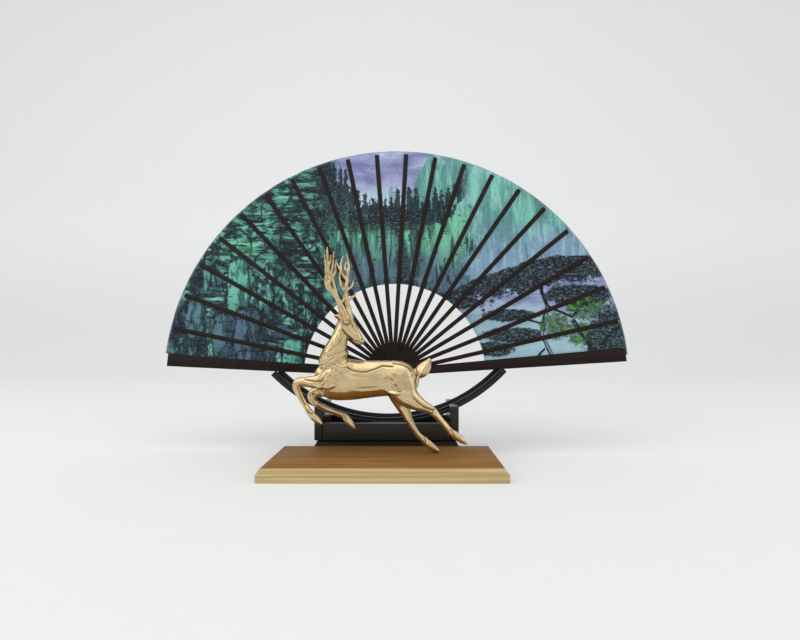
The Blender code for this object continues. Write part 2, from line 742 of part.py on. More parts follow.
def make_dowels(board, foot):
    """Two dowels from the board's rear edge into the stand's foot."""
    seam = BOARD_DEPTH / 2 + REST_GAP / 2
    height = (BOARD_THICKNESS - CHAMFER_DROP) / 2 + DOWEL_RADIUS / 4
    half = DOWEL_LENGTH / 2
    beech = material("plain_dowel", (0.5, 0.36, 0.2), 0.6)
    for name, x in (("left_dowel", -DOWEL_SPACING / 2), ("right_dowel", DOWEL_SPACING / 2)):
        bm = bmesh.new()
        rod(bm, (x, seam - half, height), (x, seam + half, height), DOWEL_RADIUS)
        finish(name, bm, beech, smooth=True)
        bm = bmesh.new()
        reach = half + REST_GAP
        rod(bm, (x, seam - reach, height), (x, seam + reach, height), DOWEL_RADIUS + BORE_GAP)
        cutter = finish(name + "_bore_cutter", bm, beech)
        cut(board, cutter)
        cut(foot, cutter)


def main():
    clear_scene()
    board = make_board()
    foot = make_foot()
    make_rails()
    make_end_plates()
    make_cradle()
    make_fan()
    body = make_stag_body()
    make_antlers(body)
    make_hoof_stud(board, body)
    make_dowels(board, foot)


main()
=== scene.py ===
"""Folding hand fan on its stand, with a leaping gold stag on a board: the visual model."""

import json
import math

import bmesh
import bpy
import numpy as np
from bpy.props import FloatProperty, FloatVectorProperty, PointerProperty
from mathutils import Matrix, Vector
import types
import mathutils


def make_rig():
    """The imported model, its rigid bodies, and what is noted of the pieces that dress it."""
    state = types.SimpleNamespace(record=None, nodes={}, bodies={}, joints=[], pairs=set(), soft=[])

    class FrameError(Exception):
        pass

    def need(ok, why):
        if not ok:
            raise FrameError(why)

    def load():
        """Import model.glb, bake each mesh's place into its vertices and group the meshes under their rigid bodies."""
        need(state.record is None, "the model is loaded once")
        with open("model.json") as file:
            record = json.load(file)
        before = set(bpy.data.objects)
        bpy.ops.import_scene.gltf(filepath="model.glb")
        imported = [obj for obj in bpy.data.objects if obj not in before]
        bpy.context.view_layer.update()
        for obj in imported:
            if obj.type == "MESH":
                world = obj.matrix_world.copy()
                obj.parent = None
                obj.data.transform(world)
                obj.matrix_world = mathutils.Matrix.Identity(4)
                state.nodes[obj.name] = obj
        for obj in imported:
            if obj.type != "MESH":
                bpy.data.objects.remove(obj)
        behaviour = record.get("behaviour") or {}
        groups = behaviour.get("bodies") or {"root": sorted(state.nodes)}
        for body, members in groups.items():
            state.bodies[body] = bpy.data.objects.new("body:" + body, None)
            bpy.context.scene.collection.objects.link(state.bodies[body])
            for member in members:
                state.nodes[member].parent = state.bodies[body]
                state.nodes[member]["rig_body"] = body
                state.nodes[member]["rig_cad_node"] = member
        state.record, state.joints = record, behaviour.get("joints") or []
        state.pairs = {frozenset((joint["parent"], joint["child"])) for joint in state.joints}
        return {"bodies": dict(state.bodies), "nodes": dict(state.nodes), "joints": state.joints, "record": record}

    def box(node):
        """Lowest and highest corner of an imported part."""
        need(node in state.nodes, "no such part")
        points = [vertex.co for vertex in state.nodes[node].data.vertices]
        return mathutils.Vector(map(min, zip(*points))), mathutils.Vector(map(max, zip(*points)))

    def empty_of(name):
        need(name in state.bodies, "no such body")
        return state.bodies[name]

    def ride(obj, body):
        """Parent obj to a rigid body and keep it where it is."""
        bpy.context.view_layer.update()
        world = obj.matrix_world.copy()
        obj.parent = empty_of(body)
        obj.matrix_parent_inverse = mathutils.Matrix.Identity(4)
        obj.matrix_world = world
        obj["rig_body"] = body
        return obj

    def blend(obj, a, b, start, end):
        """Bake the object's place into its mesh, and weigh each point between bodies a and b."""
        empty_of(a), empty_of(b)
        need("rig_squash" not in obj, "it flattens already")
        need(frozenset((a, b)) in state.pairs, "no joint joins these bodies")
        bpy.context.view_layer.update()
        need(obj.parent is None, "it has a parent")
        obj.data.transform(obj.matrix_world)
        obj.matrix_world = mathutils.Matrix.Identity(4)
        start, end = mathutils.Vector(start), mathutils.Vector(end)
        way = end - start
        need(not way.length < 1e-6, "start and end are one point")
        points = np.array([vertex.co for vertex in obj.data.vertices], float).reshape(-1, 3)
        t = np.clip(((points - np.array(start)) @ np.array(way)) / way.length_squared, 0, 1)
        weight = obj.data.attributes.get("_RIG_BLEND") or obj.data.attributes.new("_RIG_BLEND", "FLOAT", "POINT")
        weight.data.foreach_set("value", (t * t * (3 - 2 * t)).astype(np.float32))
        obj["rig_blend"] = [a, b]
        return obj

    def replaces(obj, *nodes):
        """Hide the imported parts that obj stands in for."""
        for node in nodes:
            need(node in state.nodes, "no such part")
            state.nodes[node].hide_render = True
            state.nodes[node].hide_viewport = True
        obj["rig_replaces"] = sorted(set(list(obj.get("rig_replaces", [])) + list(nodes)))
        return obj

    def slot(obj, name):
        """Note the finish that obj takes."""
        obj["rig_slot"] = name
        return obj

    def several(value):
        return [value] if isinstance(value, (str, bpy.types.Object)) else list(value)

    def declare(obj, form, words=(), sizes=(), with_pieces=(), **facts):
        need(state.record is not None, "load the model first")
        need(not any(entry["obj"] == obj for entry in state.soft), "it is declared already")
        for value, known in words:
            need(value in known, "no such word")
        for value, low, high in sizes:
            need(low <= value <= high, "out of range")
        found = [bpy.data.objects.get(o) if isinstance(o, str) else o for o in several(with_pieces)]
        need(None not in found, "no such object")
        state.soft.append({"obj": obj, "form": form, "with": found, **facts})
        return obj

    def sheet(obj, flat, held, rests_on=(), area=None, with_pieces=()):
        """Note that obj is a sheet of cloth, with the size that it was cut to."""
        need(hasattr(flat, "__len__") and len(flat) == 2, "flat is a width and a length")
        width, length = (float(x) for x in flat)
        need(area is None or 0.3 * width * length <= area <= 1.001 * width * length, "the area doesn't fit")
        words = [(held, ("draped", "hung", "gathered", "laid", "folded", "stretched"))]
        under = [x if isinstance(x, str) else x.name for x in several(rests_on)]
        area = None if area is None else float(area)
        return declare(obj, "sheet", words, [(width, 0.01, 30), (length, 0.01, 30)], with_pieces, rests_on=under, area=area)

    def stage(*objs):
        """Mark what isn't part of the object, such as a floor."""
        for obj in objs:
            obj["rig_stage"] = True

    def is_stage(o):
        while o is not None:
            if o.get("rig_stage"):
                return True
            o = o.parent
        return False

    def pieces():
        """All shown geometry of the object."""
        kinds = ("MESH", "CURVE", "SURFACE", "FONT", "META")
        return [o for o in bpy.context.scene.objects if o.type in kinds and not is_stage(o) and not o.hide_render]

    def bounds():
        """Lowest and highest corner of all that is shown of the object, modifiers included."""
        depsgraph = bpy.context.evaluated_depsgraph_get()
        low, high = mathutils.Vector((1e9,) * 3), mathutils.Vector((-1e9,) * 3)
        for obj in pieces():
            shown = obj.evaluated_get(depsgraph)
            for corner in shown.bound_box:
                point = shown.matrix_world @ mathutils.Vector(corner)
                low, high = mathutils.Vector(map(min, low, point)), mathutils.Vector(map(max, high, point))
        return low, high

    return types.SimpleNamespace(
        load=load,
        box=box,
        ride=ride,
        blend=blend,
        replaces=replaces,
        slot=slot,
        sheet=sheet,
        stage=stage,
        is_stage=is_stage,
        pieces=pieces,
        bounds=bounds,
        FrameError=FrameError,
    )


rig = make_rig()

bl_info = {
    "name": "Hand fan ornament",
    "version": (1, 0, 0),
    "blender": (4, 5, 0),
    "location": "3D View > Sidebar > Hand fan",
    "description": "Builds a painted folding fan on a cradle stand with a gold stag in front",
    "category": "Add Mesh",
}

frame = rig.load()
CAD_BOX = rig.bounds()
MM = 0.001

# The fan's own frame: local X to the right, Y up the leaning fan, Z out of its front
PIVOT = Vector((0.0076, 0.1113, 0.0995))
LEAN = math.radians(7.3)
FAN_FRAME = Matrix.Translation(PIVOT) @ Matrix.Rotation(math.pi / 2 - LEAN, 4, "X")
RIB_COUNT = 20
CENTRE_ANGLE = 90.7
RIB_STEP = 7.68
RIB_SPREAD = 0.00072
LEFT_GUARD_STEP = 8.0
RIGHT_GUARD_STEP = 8.6
RIB_THICKNESS = 0.6 * MM
RIB_HALF_WIDTH = 2.9 * MM
LAYER_PITCH = 1.0 * MM
LAYER_GAP = 0.125 * MM
GUARD_THICKNESS = 2.4 * MM
GUARD_LENGTH = 297.0 * MM
GUARD_WIDTHS = (8.6 * MM, 17.5 * MM)  # at the rivet and at the far end

# The stag's own frame: millimetres from the standing hoof's tip, on top of the board
STAG_ORIGIN = Vector((62.8 * MM, 10.0 * MM, 14.5 * MM))


def linear(red, green, blue):
    """A display colour from 0 to 255 as the linear values that shaders use."""
    made = []
    for part in (red, green, blue):
        share = part / 255
        made.append(share / 12.92 if share < 0.04045 else ((share + 0.055) / 1.055) ** 2.4)
    return tuple(made)


def length(name, description, default):
    return FloatProperty(name=name, description=description, default=default, unit="LENGTH",
                         precision=5)


def colour(name, description, red, green, blue):
    return FloatVectorProperty(name=name, description=description, size=3, subtype="COLOR",
                               min=0.0, max=1.0, default=linear(red, green, blue))


class HANDFAN_PG_sizes(bpy.types.PropertyGroup):
    """Sizes of the fan, its stand and the stag."""

    leaf_inner: length("Leaf inner radius", "From the rivet to the leaf's lower edge", 0.117)
    leaf_outer: length("Leaf outer radius", "From the rivet to the leaf's rim", 0.300)
    leaf_thickness: length("Leaf thickness", "Thickness of the painted cloth", 0.0001)
    stick_round: length("Rib edge rounding", "Rounding of the ribs' long edges", 0.00012)
    guard_round: length("Guard edge rounding", "Rounding of the two guards' edges", 0.0004)
    stand_round: length("Stand edge rounding", "Rounding of the stand's edges", 0.0006)
    board_round: length("Board edge rounding", "Rounding of the board's edges", 0.0005)
    cradle_radius: length("Cradle radius", "Radius of the cradle's underside", 0.205)
    stag_voxel: length("Stag skin fineness", "Cell size of the stag's melted skin", 0.00075)
    antler_voxel: length("Antler skin fineness", "Cell size of the antlers' melted skin", 0.00035)


class HANDFAN_PG_colours(bpy.types.PropertyGroup):
    """Colours of the finishes and of the painting."""

    board_top: colour("Board top", "Stained top of the board", 146, 104, 48)
    board_edge: colour("Board edge", "Bamboo edge of the board", 190, 168, 118)
    lacquer: colour("Lacquer", "Black lacquer of the stand", 26, 24, 19)
    cradle: colour("Cradle lacquer", "Blue-black lacquer of the cradle", 22, 24, 28)
    stick: colour("Sticks", "Dark stained wood of ribs and guards", 27, 20, 18)
    gold: colour("Champagne gold", "Plated metal of the stag", 216, 193, 149)
    # gold_shade is also the colour of the painted shadow under the stag's folds
    gold_shade: colour("Gold in hollows", "Toned metal in the stag's creases", 112, 80, 40)
    steel: colour("Steel", "Rivet and washer", 150, 150, 150)
    beech: colour("Beech", "Plain dowels", 196, 164, 118)
    paint_ink: colour("Ink", "Darkest brush lines", 22, 30, 44)
    paint_teal: colour("Teal", "Shaded cliffs", 40, 80, 80)
    paint_mint: colour("Mint", "Sunlit cliffs", 124, 196, 168)
    paint_slate: colour("Slate", "Cliffs in deep shade", 56, 78, 98)
    paint_lilac: colour("Lilac", "Clouds and distant mist", 122, 124, 168)
    paint_leaf: colour("Leaf green", "Bush beside the water", 92, 140, 66)
    paint_rim: colour("Rim", "Bound edge of the leaf", 150, 164, 178)


def sizes():
    return bpy.context.scene.handfan_sizes


def colours():
    return bpy.context.scene.handfan_colours


# Shader graphs -----------------------------------------------------------------------------------

class Graph:
    """A material under construction, with short names for the nodes that the finishes use."""

    def __init__(self, name, roughness, metallic=0.0):
        self.material = bpy.data.materials.new(name)
        self.material.use_nodes = True
        self.tree = self.material.node_tree
        self.shader = self.tree.nodes["Principled BSDF"]
        self.shader.inputs["Roughness"].default_value = roughness
        self.shader.inputs["Metallic"].default_value = metallic

    def node(self, kind, inputs, output=0, **settings):
        made = self.tree.nodes.new(kind)
        for key, value in settings.items():
            setattr(made, key, value)
        for key, value in inputs.items():
            if isinstance(value, bpy.types.NodeSocket):
                self.tree.links.new(value, made.inputs[key])
            else:
                made.inputs[key].default_value = value
        return made.outputs[output]

    def math(self, operation, first, second=0.0, third=0.0):
        return self.node("ShaderNodeMath", {0: first, 1: second, 2: third}, operation=operation)

    def sum(self, *parts):
        total = parts[0]
        for part in parts[1:]:
            total = self.math("ADD", total, part)
        return total

    def times(self, *parts):
        total = parts[0]
        for part in parts[1:]:
            total = self.math("MULTIPLY", total, part)
        return total

    def less(self, first, second):
        return self.math("SUBTRACT", first, second)

    def size_of(self, value):
        return self.math("ABSOLUTE", value)

    def hypot(self, x, y):
        return self.math("SQRT", self.sum(self.times(x, x), self.times(y, y)))

    def most(self, *parts):
        total = parts[0]
        for part in parts[1:]:
            total = self.math("MAXIMUM", total, part)
        return total

    def clamp(self, value, low, high):
        return self.math("MINIMUM", self.math("MAXIMUM", value, low), high)

    def step(self, value, low, high):
        """0 below low and 1 above high, with a smooth rise; low may be the greater."""
        return self.node("ShaderNodeMapRange", {"Value": value, "From Min": low, "From Max": high},
                         interpolation_type="SMOOTHSTEP")

    def mix(self, share, first, second, blend_type="MIX"):
        inputs = {0: share}
        for key, value in ((6, first), (7, second)):
            socket = isinstance(value, bpy.types.NodeSocket)
            inputs[key] = value if socket else (*value[:3], 1.0)
        return self.node("ShaderNodeMix", inputs, output=2, data_type="RGBA",
                         blend_type=blend_type)

    def place(self, source="Object"):
        return self.node("ShaderNodeTexCoord", {}, output=source)

    def split(self, vector):
        parts = self.tree.nodes.new("ShaderNodeSeparateXYZ")
        self.tree.links.new(vector, parts.inputs[0])
        return parts.outputs[0], parts.outputs[1], parts.outputs[2]

    def join(self, x, y, z=0.0):
        return self.node("ShaderNodeCombineXYZ", {0: x, 1: y, 2: z})

    def stretch(self, vector, scale, shift=(0.0, 0.0, 0.0)):
        return self.node("ShaderNodeMapping", {"Vector": vector, "Scale": scale,
                                               "Location": shift})

    def noise(self, vector, scale, detail=3.0, roughness=0.55, distortion=0.0, output=0):
        return self.node("ShaderNodeTexNoise",
                         {"Vector": vector, "Scale": scale, "Detail": detail,
                          "Roughness": roughness, "Distortion": distortion}, output=output)

    def cells(self, vector, scale, feature="F1", output=0, randomness=1.0):
        return self.node("ShaderNodeTexVoronoi",
                         {"Vector": vector, "Scale": scale, "Randomness": randomness},
                         output=output, feature=feature)

    def lines(self, vector, scale, width, detail=3.0, distortion=0.0):
        """Thin winding brush lines: 1 on a line, 0 away from it."""
        field = self.noise(vector, scale, detail, 0.6, distortion)
        return self.step(self.size_of(self.less(field, 0.5)), width, 0.0)

    def bump(self, height, distance, strength=1.0, normal=None):
        inputs = {"Height": height, "Distance": distance, "Strength": strength}
        if normal is not None:
            inputs["Normal"] = normal
        return self.node("ShaderNodeBump", inputs)

    def set(self, **inputs):
        names = {"color": "Base Color", "roughness": "Roughness", "normal": "Normal",
                 "coat": "Coat Weight", "coat_roughness": "Coat Roughness",
                 "sheen": "Sheen Weight", "specular": "Specular IOR Level"}
        for key, value in inputs.items():
            socket = self.shader.inputs[names[key]]
            if isinstance(value, bpy.types.NodeSocket):
                self.tree.links.new(value, socket)
            else:
                socket.default_value = value
        return self.material


def finish_once(make):
    """Keeps one material of each kind, however many pieces use it."""
    made = {}

    def kept():
        if make.__name__ not in made:
            made[make.__name__] = make()
        return made[make.__name__]
    return kept


@finish_once
def board_wood():
    """Brown stain on top, bare bamboo with fine level lines on the edges."""
    g = Graph("board_wood", 0.42)
    place = g.place()
    up = g.split(g.place("Normal"))[2]
    behind = g.split(place)[1]
    grain = g.noise(g.stretch(place, (9.0, 150.0, 150.0)), 1.0, 5.0, 0.6, 0.6)
    pores = g.noise(g.stretch(place, (55.0, 1500.0, 1500.0)), 1.0, 3.0, 0.6)
    stain = g.mix(g.step(grain, 0.35, 0.68), colours().board_top,
                  [part * 0.62 for part in colours().board_top])
    stain = g.mix(g.times(g.step(pores, 0.56, 0.72), 0.35), stain, linear(70, 42, 18))
    # Darker towards the board's back edge
    stain = g.mix(g.times(g.step(behind, 0.0, 0.066), 0.45), stain, linear(92, 62, 26))
    fibres = g.noise(g.stretch(place, (14.0, 14.0, 1300.0)), 1.0, 4.0, 0.6)
    strips = g.step(g.noise(g.stretch(place, (3.0, 3.0, 330.0)), 1.0, 1.0), 0.4, 0.62)
    edge = g.mix(g.step(fibres, 0.3, 0.72), linear(204, 184, 138), colours().board_edge)
    edge = g.mix(g.times(strips, 0.55), edge, linear(150, 122, 76))
    color = g.mix(g.step(up, 0.86, 0.94), edge, stain)
    relief = g.sum(g.times(grain, 0.6), g.times(pores, 0.5), g.times(fibres, 0.4))
    rough = g.sum(g.times(grain, 0.18), 0.5)
    return g.set(color=color, roughness=rough, normal=g.bump(relief, 0.00012, 0.5),
                 specular=0.12)


@finish_once
def stand_lacquer():
    """Brown-black satin lacquer, with a trace of grain and a few wiping marks."""
    g = Graph("stand_lacquer", 0.34)
    place = g.place()
    grain = g.noise(g.stretch(place, (12.0, 240.0, 240.0)), 1.0, 5.0, 0.6)
    haze = g.noise(place, 26.0, 4.0, 0.6)
    color = g.mix(g.step(grain, 0.3, 0.75), colours().lacquer,
                  [part * 1.7 for part in colours().lacquer])
    rough = g.sum(g.times(haze, 0.16), g.times(grain, 0.08), 0.22)
    relief = g.sum(grain, g.times(haze, 0.5))
    return g.set(color=color, roughness=rough, normal=g.bump(relief, 0.00006, 0.5), coat=0.1,
                 coat_roughness=0.2, specular=0.35)


@finish_once
def foot_lacquer_painted_shade():
    """Dull black underneath the stand's block, darker than the rest of the stand: painted shade for the foot, which
    sits in the block's shadow.
    """
    g = Graph("foot_lacquer_painted_shade", 0.6)
    place = g.place()
    haze = g.noise(place, 60.0, 4.0, 0.6)
    # Both near-blacks are painted shade: the foot lies in shadow under the block
    color = g.mix(g.step(haze, 0.3, 0.75), linear(13, 12, 11), linear(24, 22, 20))
    return g.set(color=color, roughness=g.sum(g.times(haze, 0.2), 0.52),
                 normal=g.bump(haze, 0.00008, 0.5), specular=0.25)


@finish_once
def cradle_lacquer():
    """Deep blue-black lacquer on the bent mouldings, a little paler in cloudy patches."""
    g = Graph("cradle_lacquer", 0.3)
    place = g.place()
    haze = g.noise(place, 34.0, 4.0, 0.6)
    grain = g.noise(g.stretch(place, (30.0, 500.0, 30.0)), 1.0, 4.0, 0.6)
    color = g.mix(g.step(haze, 0.3, 0.75), colours().cradle,
                  [part * 1.9 for part in colours().cradle])
    rough = g.sum(g.times(haze, 0.14), g.times(grain, 0.06), 0.2)
    return g.set(color=color, roughness=rough, normal=g.bump(grain, 0.00005, 0.5), coat=0.05,
                 coat_roughness=0.18, specular=0.22)


def from_rivet(g):
    """A place on a piece, counted from the rivet, as its three parts."""
    local = g.node("ShaderNodeVectorMath", {0: g.place(), 1: tuple(PIVOT)},
                   operation="SUBTRACT")
    return g.split(local)


@finish_once
def stick_wood():
    """Dark stained wood whose grain runs out from the rivet along every stick."""
    g = Graph("stick_wood", 0.45)
    x, y, z = from_rivet(g)
    radius = g.hypot(x, z)
    turn = g.math("ARCTAN2", z, x)
    along = g.join(g.times(radius, 20.0), g.times(turn, g.sum(g.times(radius, 900.0), 20.0)),
                   g.times(y, 60.0))
    grain = g.noise(along, 1.0, 5.0, 0.62, 0.4)
    pores = g.noise(g.stretch(along, (4.0, 4.0, 4.0)), 1.0, 3.0, 0.6)
    color = g.mix(g.step(grain, 0.42, 0.7), colours().stick, linear(46, 32, 28))
    color = g.mix(g.times(g.step(pores, 0.56, 0.7), 0.6), color, linear(14, 11, 11))
    rough = g.sum(g.times(pores, 0.25), 0.34)
    return g.set(color=color, roughness=rough, normal=g.bump(g.sum(grain, pores), 0.00008, 0.5),
                 specular=0.12)


@finish_once
def champagne_gold():
    """Satin plated metal, toned darker in its creases, with painted shadow under its folds, and a faint casting
    ripple.
    """
    g = Graph("champagne_gold", 0.3, metallic=1.0)
    place = g.place()
    tone_and_shadow = g.node("ShaderNodeAttribute", {}, output="Fac", attribute_name="crease")
    cloud = g.noise(place, 60.0, 4.0, 0.6)
    ripple = g.noise(place, 260.0, 3.0, 0.55)
    scuff = g.noise(g.stretch(place, (300.0, 300.0, 2200.0)), 1.0, 3.0, 0.6)
    color = g.mix(g.step(cloud, 0.3, 0.72), colours().gold,
                  [part * 0.84 for part in colours().gold])
    # Creases go toward gold_shade: toned metal in the hollows, and painted shadow under the stag's folds
    color = g.mix(g.step(tone_and_shadow, 0.08, 0.95), color, colours().gold_shade)
    rough = g.sum(g.times(cloud, 0.1), g.times(scuff, 0.06), g.times(tone_and_shadow, 0.2), 0.17)
    relief = g.sum(g.times(ripple, 1.0), g.times(scuff, 0.12))
    return g.set(color=color, roughness=rough, normal=g.bump(relief, 0.00009, 0.35))


@finish_once
def plain_steel():
    """Turned steel with fine rings about the rivet's axis."""
    g = Graph("plain_steel", 0.3, metallic=1.0)
    x, _, z = from_rivet(g)
    rings = g.noise(g.join(g.times(g.hypot(x, z), 9000.0), 0.0), 1.0, 2.0, 0.5)
    cloud = g.noise(g.place(), 300.0, 3.0, 0.6)
    color = g.mix(g.step(cloud, 0.35, 0.7), colours().steel, linear(96, 94, 92))
    return g.set(color=color, roughness=g.sum(g.times(rings, 0.2), 0.2),
                 normal=g.bump(rings, 0.00003, 0.4))


@finish_once
def beech():
    """Bare beech with short flecks."""
    g = Graph("beech", 0.6)
    place = g.place()
    grain = g.noise(g.stretch(place, (900.0, 60.0, 900.0)), 1.0, 4.0, 0.6)
    flecks = g.step(g.noise(g.stretch(place, (1500.0, 260.0, 1500.0)), 1.0, 2.0), 0.58, 0.7)
    color = g.mix(g.step(grain, 0.3, 0.7), colours().beech, linear(168, 130, 84))
    color = g.mix(g.times(flecks, 0.5), color, linear(126, 88, 50))
    return g.set(color=color, roughness=g.sum(g.times(grain, 0.2), 0.5),
                 normal=g.bump(grain, 0.00006, 0.5))


# The painting ------------------------------------------------------------------------------------
# Places on it are in decimetres from the rivet, x to the right and y up the fan. They come from the
# cloth's own attribute, so that the picture stays on the cloth when it folds.

class Painting:
    """An imagined mountain valley in teal, mint and lilac, painted field over field."""

    def __init__(self):
        self.g = Graph("painted_leaf", 0.72)
        g = self.g
        metres = g.node("ShaderNodeAttribute", {}, output="Vector", attribute_name="leaf_place")
        self.place = g.stretch(metres, (10.0, 10.0, 10.0))
        self.x, self.y, _ = g.split(self.place)
        self.wobble = g.less(g.noise(self.place, 3.2, 4.0, 0.6), 0.5)
        self.ragged = g.less(g.noise(self.place, 17.0, 4.0, 0.65), 0.5)

    def above(self, level, soft=0.03):
        """1 where the place is above a level, which may be a field."""
        return self.g.step(self.g.less(self.y, level), -soft, soft)

    def below(self, level, soft):
        return self.g.less(1.0, self.above(level, soft))

    def blob(self, x, y, wide, tall, soft=0.3, rag=0.8):
        """1 inside a ragged oval."""
        g = self.g
        across = g.times(g.sum(self.x, -x), 1.0 / wide)
        up = g.times(g.sum(self.y, -y), 1.0 / tall)
        reach = g.sum(g.hypot(across, up), g.times(self.ragged, rag))
        return g.step(reach, 1.0 + soft / 2, 1.0 - soft / 2)

    def trees(self, level, spacing, height, seed):
        """A row of pointed firs whose feet stand on a level."""
        g = self.g
        column = g.sum(g.times(self.x, 1.0 / spacing), seed)
        number = g.math("FLOOR", column)
        luck = g.node("ShaderNodeTexWhiteNoise", {"W": number}, noise_dimensions="1D")
        lean = g.node("ShaderNodeTexWhiteNoise", {"W": g.sum(number, 31.7)},
                      noise_dimensions="1D")
        centre = g.sum(number, 0.32, g.times(lean, 0.36))
        aside = g.size_of(g.times(g.less(column, centre), spacing))
        tall = g.times(g.sum(g.times(luck, 0.75), 0.35), height)
        below_tip = g.less(g.sum(level, tall), self.y)
        tiers = g.math("PINGPONG", g.times(below_tip, 1.0 / height), 0.085)
        boughs = g.sum(g.times(below_tip, 0.24), g.times(tiers, 0.4 * height),
                       g.times(self.ragged, 0.13))
        inside = g.step(g.less(boughs, aside), -0.004, 0.008)
        return g.times(inside, g.step(below_tip, 0.0, 0.01),
                       g.step(g.less(self.y, level), -0.06, -0.02))

    def path(self, points, width):
        """1 on a winding limb that runs through the points."""
        g = self.g
        nearest = None
        bend = g.times(self.ragged, 0.05)
        for (ax, ay), (bx, by) in zip(points, points[1:]):
            dx, dy = bx - ax, by - ay
            px = g.sum(self.x, bend, -ax)
            py = g.sum(self.y, -ay)
            share = g.times(g.sum(g.times(px, dx), g.times(py, dy)), 1.0 / (dx * dx + dy * dy))
            share = g.clamp(share, 0.0, 1.0)
            reach = g.hypot(g.less(px, g.times(share, dx)), g.less(py, g.times(share, dy)))
            nearest = reach if nearest is None else g.math("MINIMUM", nearest, reach)
        return g.step(nearest, width, width * 0.55)

    def sky(self):
        """Lilac cloud in level drifts, over a pale haze at the skyline."""
        g = self.g
        c = colours()
        drift = g.noise(g.stretch(self.place, (0.9, 2.6, 1.0)), 1.6, 5.0, 0.6, 0.6)
        sky = g.mix(g.step(drift, 0.34, 0.6), c.paint_lilac, linear(160, 166, 200))
        sky = g.mix(g.step(drift, 0.56, 0.72), sky, linear(196, 210, 224))
        dark = g.step(g.noise(self.place, 1.7, 4.0, 0.6), 0.5, 0.72)
        sky = g.mix(g.times(dark, 0.5), sky, linear(92, 92, 142))
        haze = g.step(self.y, 2.62, 2.32)
        return g.mix(g.times(haze, 0.85), sky, linear(192, 214, 226))

    def left_cliffs(self):
        """Boulders and ledges drawn with many short level brush lines."""
        g = self.g
        c = colours()
        patch = g.noise(g.stretch(self.place, (1.0, 1.7, 1.0)), 3.4, 3.0, 0.6, 0.8)
        rock = g.mix(g.step(patch, 0.38, 0.6), c.paint_teal, linear(104, 172, 154))
        green = g.step(g.noise(self.place, 2.1, 3.0), 0.5, 0.66)
        rock = g.mix(g.times(green, 0.4), rock, linear(84, 168, 112))
        low = g.sum(g.times(self.y, 0.75), g.times(self.x, 0.2), g.times(self.wobble, 1.0))
        rock = g.mix(g.times(g.step(low, 0.85, 0.1), 0.85), rock, c.paint_slate)
        level = g.noise(g.stretch(self.place, (3.4, 14.0, 1.0)), 1.0, 2.5, 0.6, 0.7)
        upright = g.noise(g.stretch(self.place, (13.0, 4.2, 1.0)), 1.0, 2.5, 0.6, 0.7)
        steep = g.step(g.sum(g.noise(self.place, 1.7, 2.0), g.times(self.y, -0.08)), 0.36, 0.46)
        strokes = g.split(g.mix(steep, g.join(level, 0.0), g.join(upright, 0.0)))[0]
        rock = g.mix(g.times(g.step(strokes, 0.47, 0.38), 0.85), rock, linear(136, 202, 182))
        twisted = g.node("ShaderNodeVectorMath",
                         {0: self.place, 1: g.join(g.times(self.wobble, 0.5),
                                                   g.times(self.ragged, 0.1))},
                         operation="ADD")
        blocks = g.stretch(twisted, (1.9, 1.1, 1.0))
        joints = g.step(g.cells(blocks, 2.0, "DISTANCE_TO_EDGE"), 0.08, 0.02)
        shade = g.step(g.cells(blocks, 2.0), 0.35, 0.75)
        rock = g.mix(g.times(shade, 0.6), rock, linear(28, 48, 60))
        ink = g.most(g.times(g.step(strokes, 0.53, 0.58), 0.95), g.times(joints, 0.85))
        grove = g.step(g.noise(self.place, 1.9, 4.0, 0.6, 0.5), 0.57, 0.68)
        dabs = g.step(g.noise(self.place, 15.0, 2.0, 0.6), 0.42, 0.54)
        rock = g.mix(g.most(ink, g.times(grove, dabs, 0.95)), rock, c.paint_ink)
        for x, y, wide, tall, light in (
                (-2.06, 1.1, 0.15, 0.44, 0.9), (-2.24, 0.5, 0.15, 0.3, 0.15),
                (-1.93, 0.52, 0.17, 0.36, 0.05), (-1.88, 0.1, 0.2, 0.2, 0.0),
                (-1.32, 0.2, 0.13, 0.26, 0.8), (-2.62, 0.72, 0.12, 0.28, 0.2)):
            rock = self.boulder(rock, x, y, wide, tall, light)
        marks = g.step(g.noise(g.stretch(self.place, (9.0, 17.0, 1.0)), 1.0, 2.0, 0.6), 0.58, 0.64)
        return g.mix(g.times(marks, 0.7), rock, c.paint_ink)

    def boulder(self, color, x, y, wide, tall, light):
        """A tall round-shouldered rock with upright brush shading and an ink outline."""
        g = self.g
        across = g.times(g.sum(self.x, g.times(self.wobble, 0.16), -x), 1.0 / wide)
        up = g.times(g.sum(self.y, g.times(self.ragged, 0.12), -y), 1.0 / tall)
        reach = g.math("SQRT", g.sum(g.times(across, across, across, across),
                                     g.times(up, up, up, up)))
        inside = g.step(reach, 1.05, 0.95)
        brush = g.noise(g.stretch(self.place, (9.0, 2.4, 1.0), (x, y, 0.0)), 1.6, 2.0, 0.6, 0.6)
        pale = [a + (b - a) * light for a, b in zip(linear(86, 112, 132), linear(118, 190, 170))]
        deep = [a + (b - a) * light for a, b in zip(linear(44, 60, 80), linear(58, 112, 106))]
        face = g.mix(g.step(g.sum(brush, g.times(across, -0.12)), 0.4, 0.6), deep, pale)
        face = g.mix(g.times(g.step(up, 0.0, -1.0), 0.5), face, linear(40, 56, 78))
        color = g.mix(inside, color, face)
        outline = g.times(g.step(g.size_of(g.sum(reach, -1.0)), 0.24, 0.06),
                          g.sum(g.times(self.ragged, 2.0), 0.75))
        return g.mix(g.clamp(outline, 0.0, 0.9), color, colours().paint_ink)

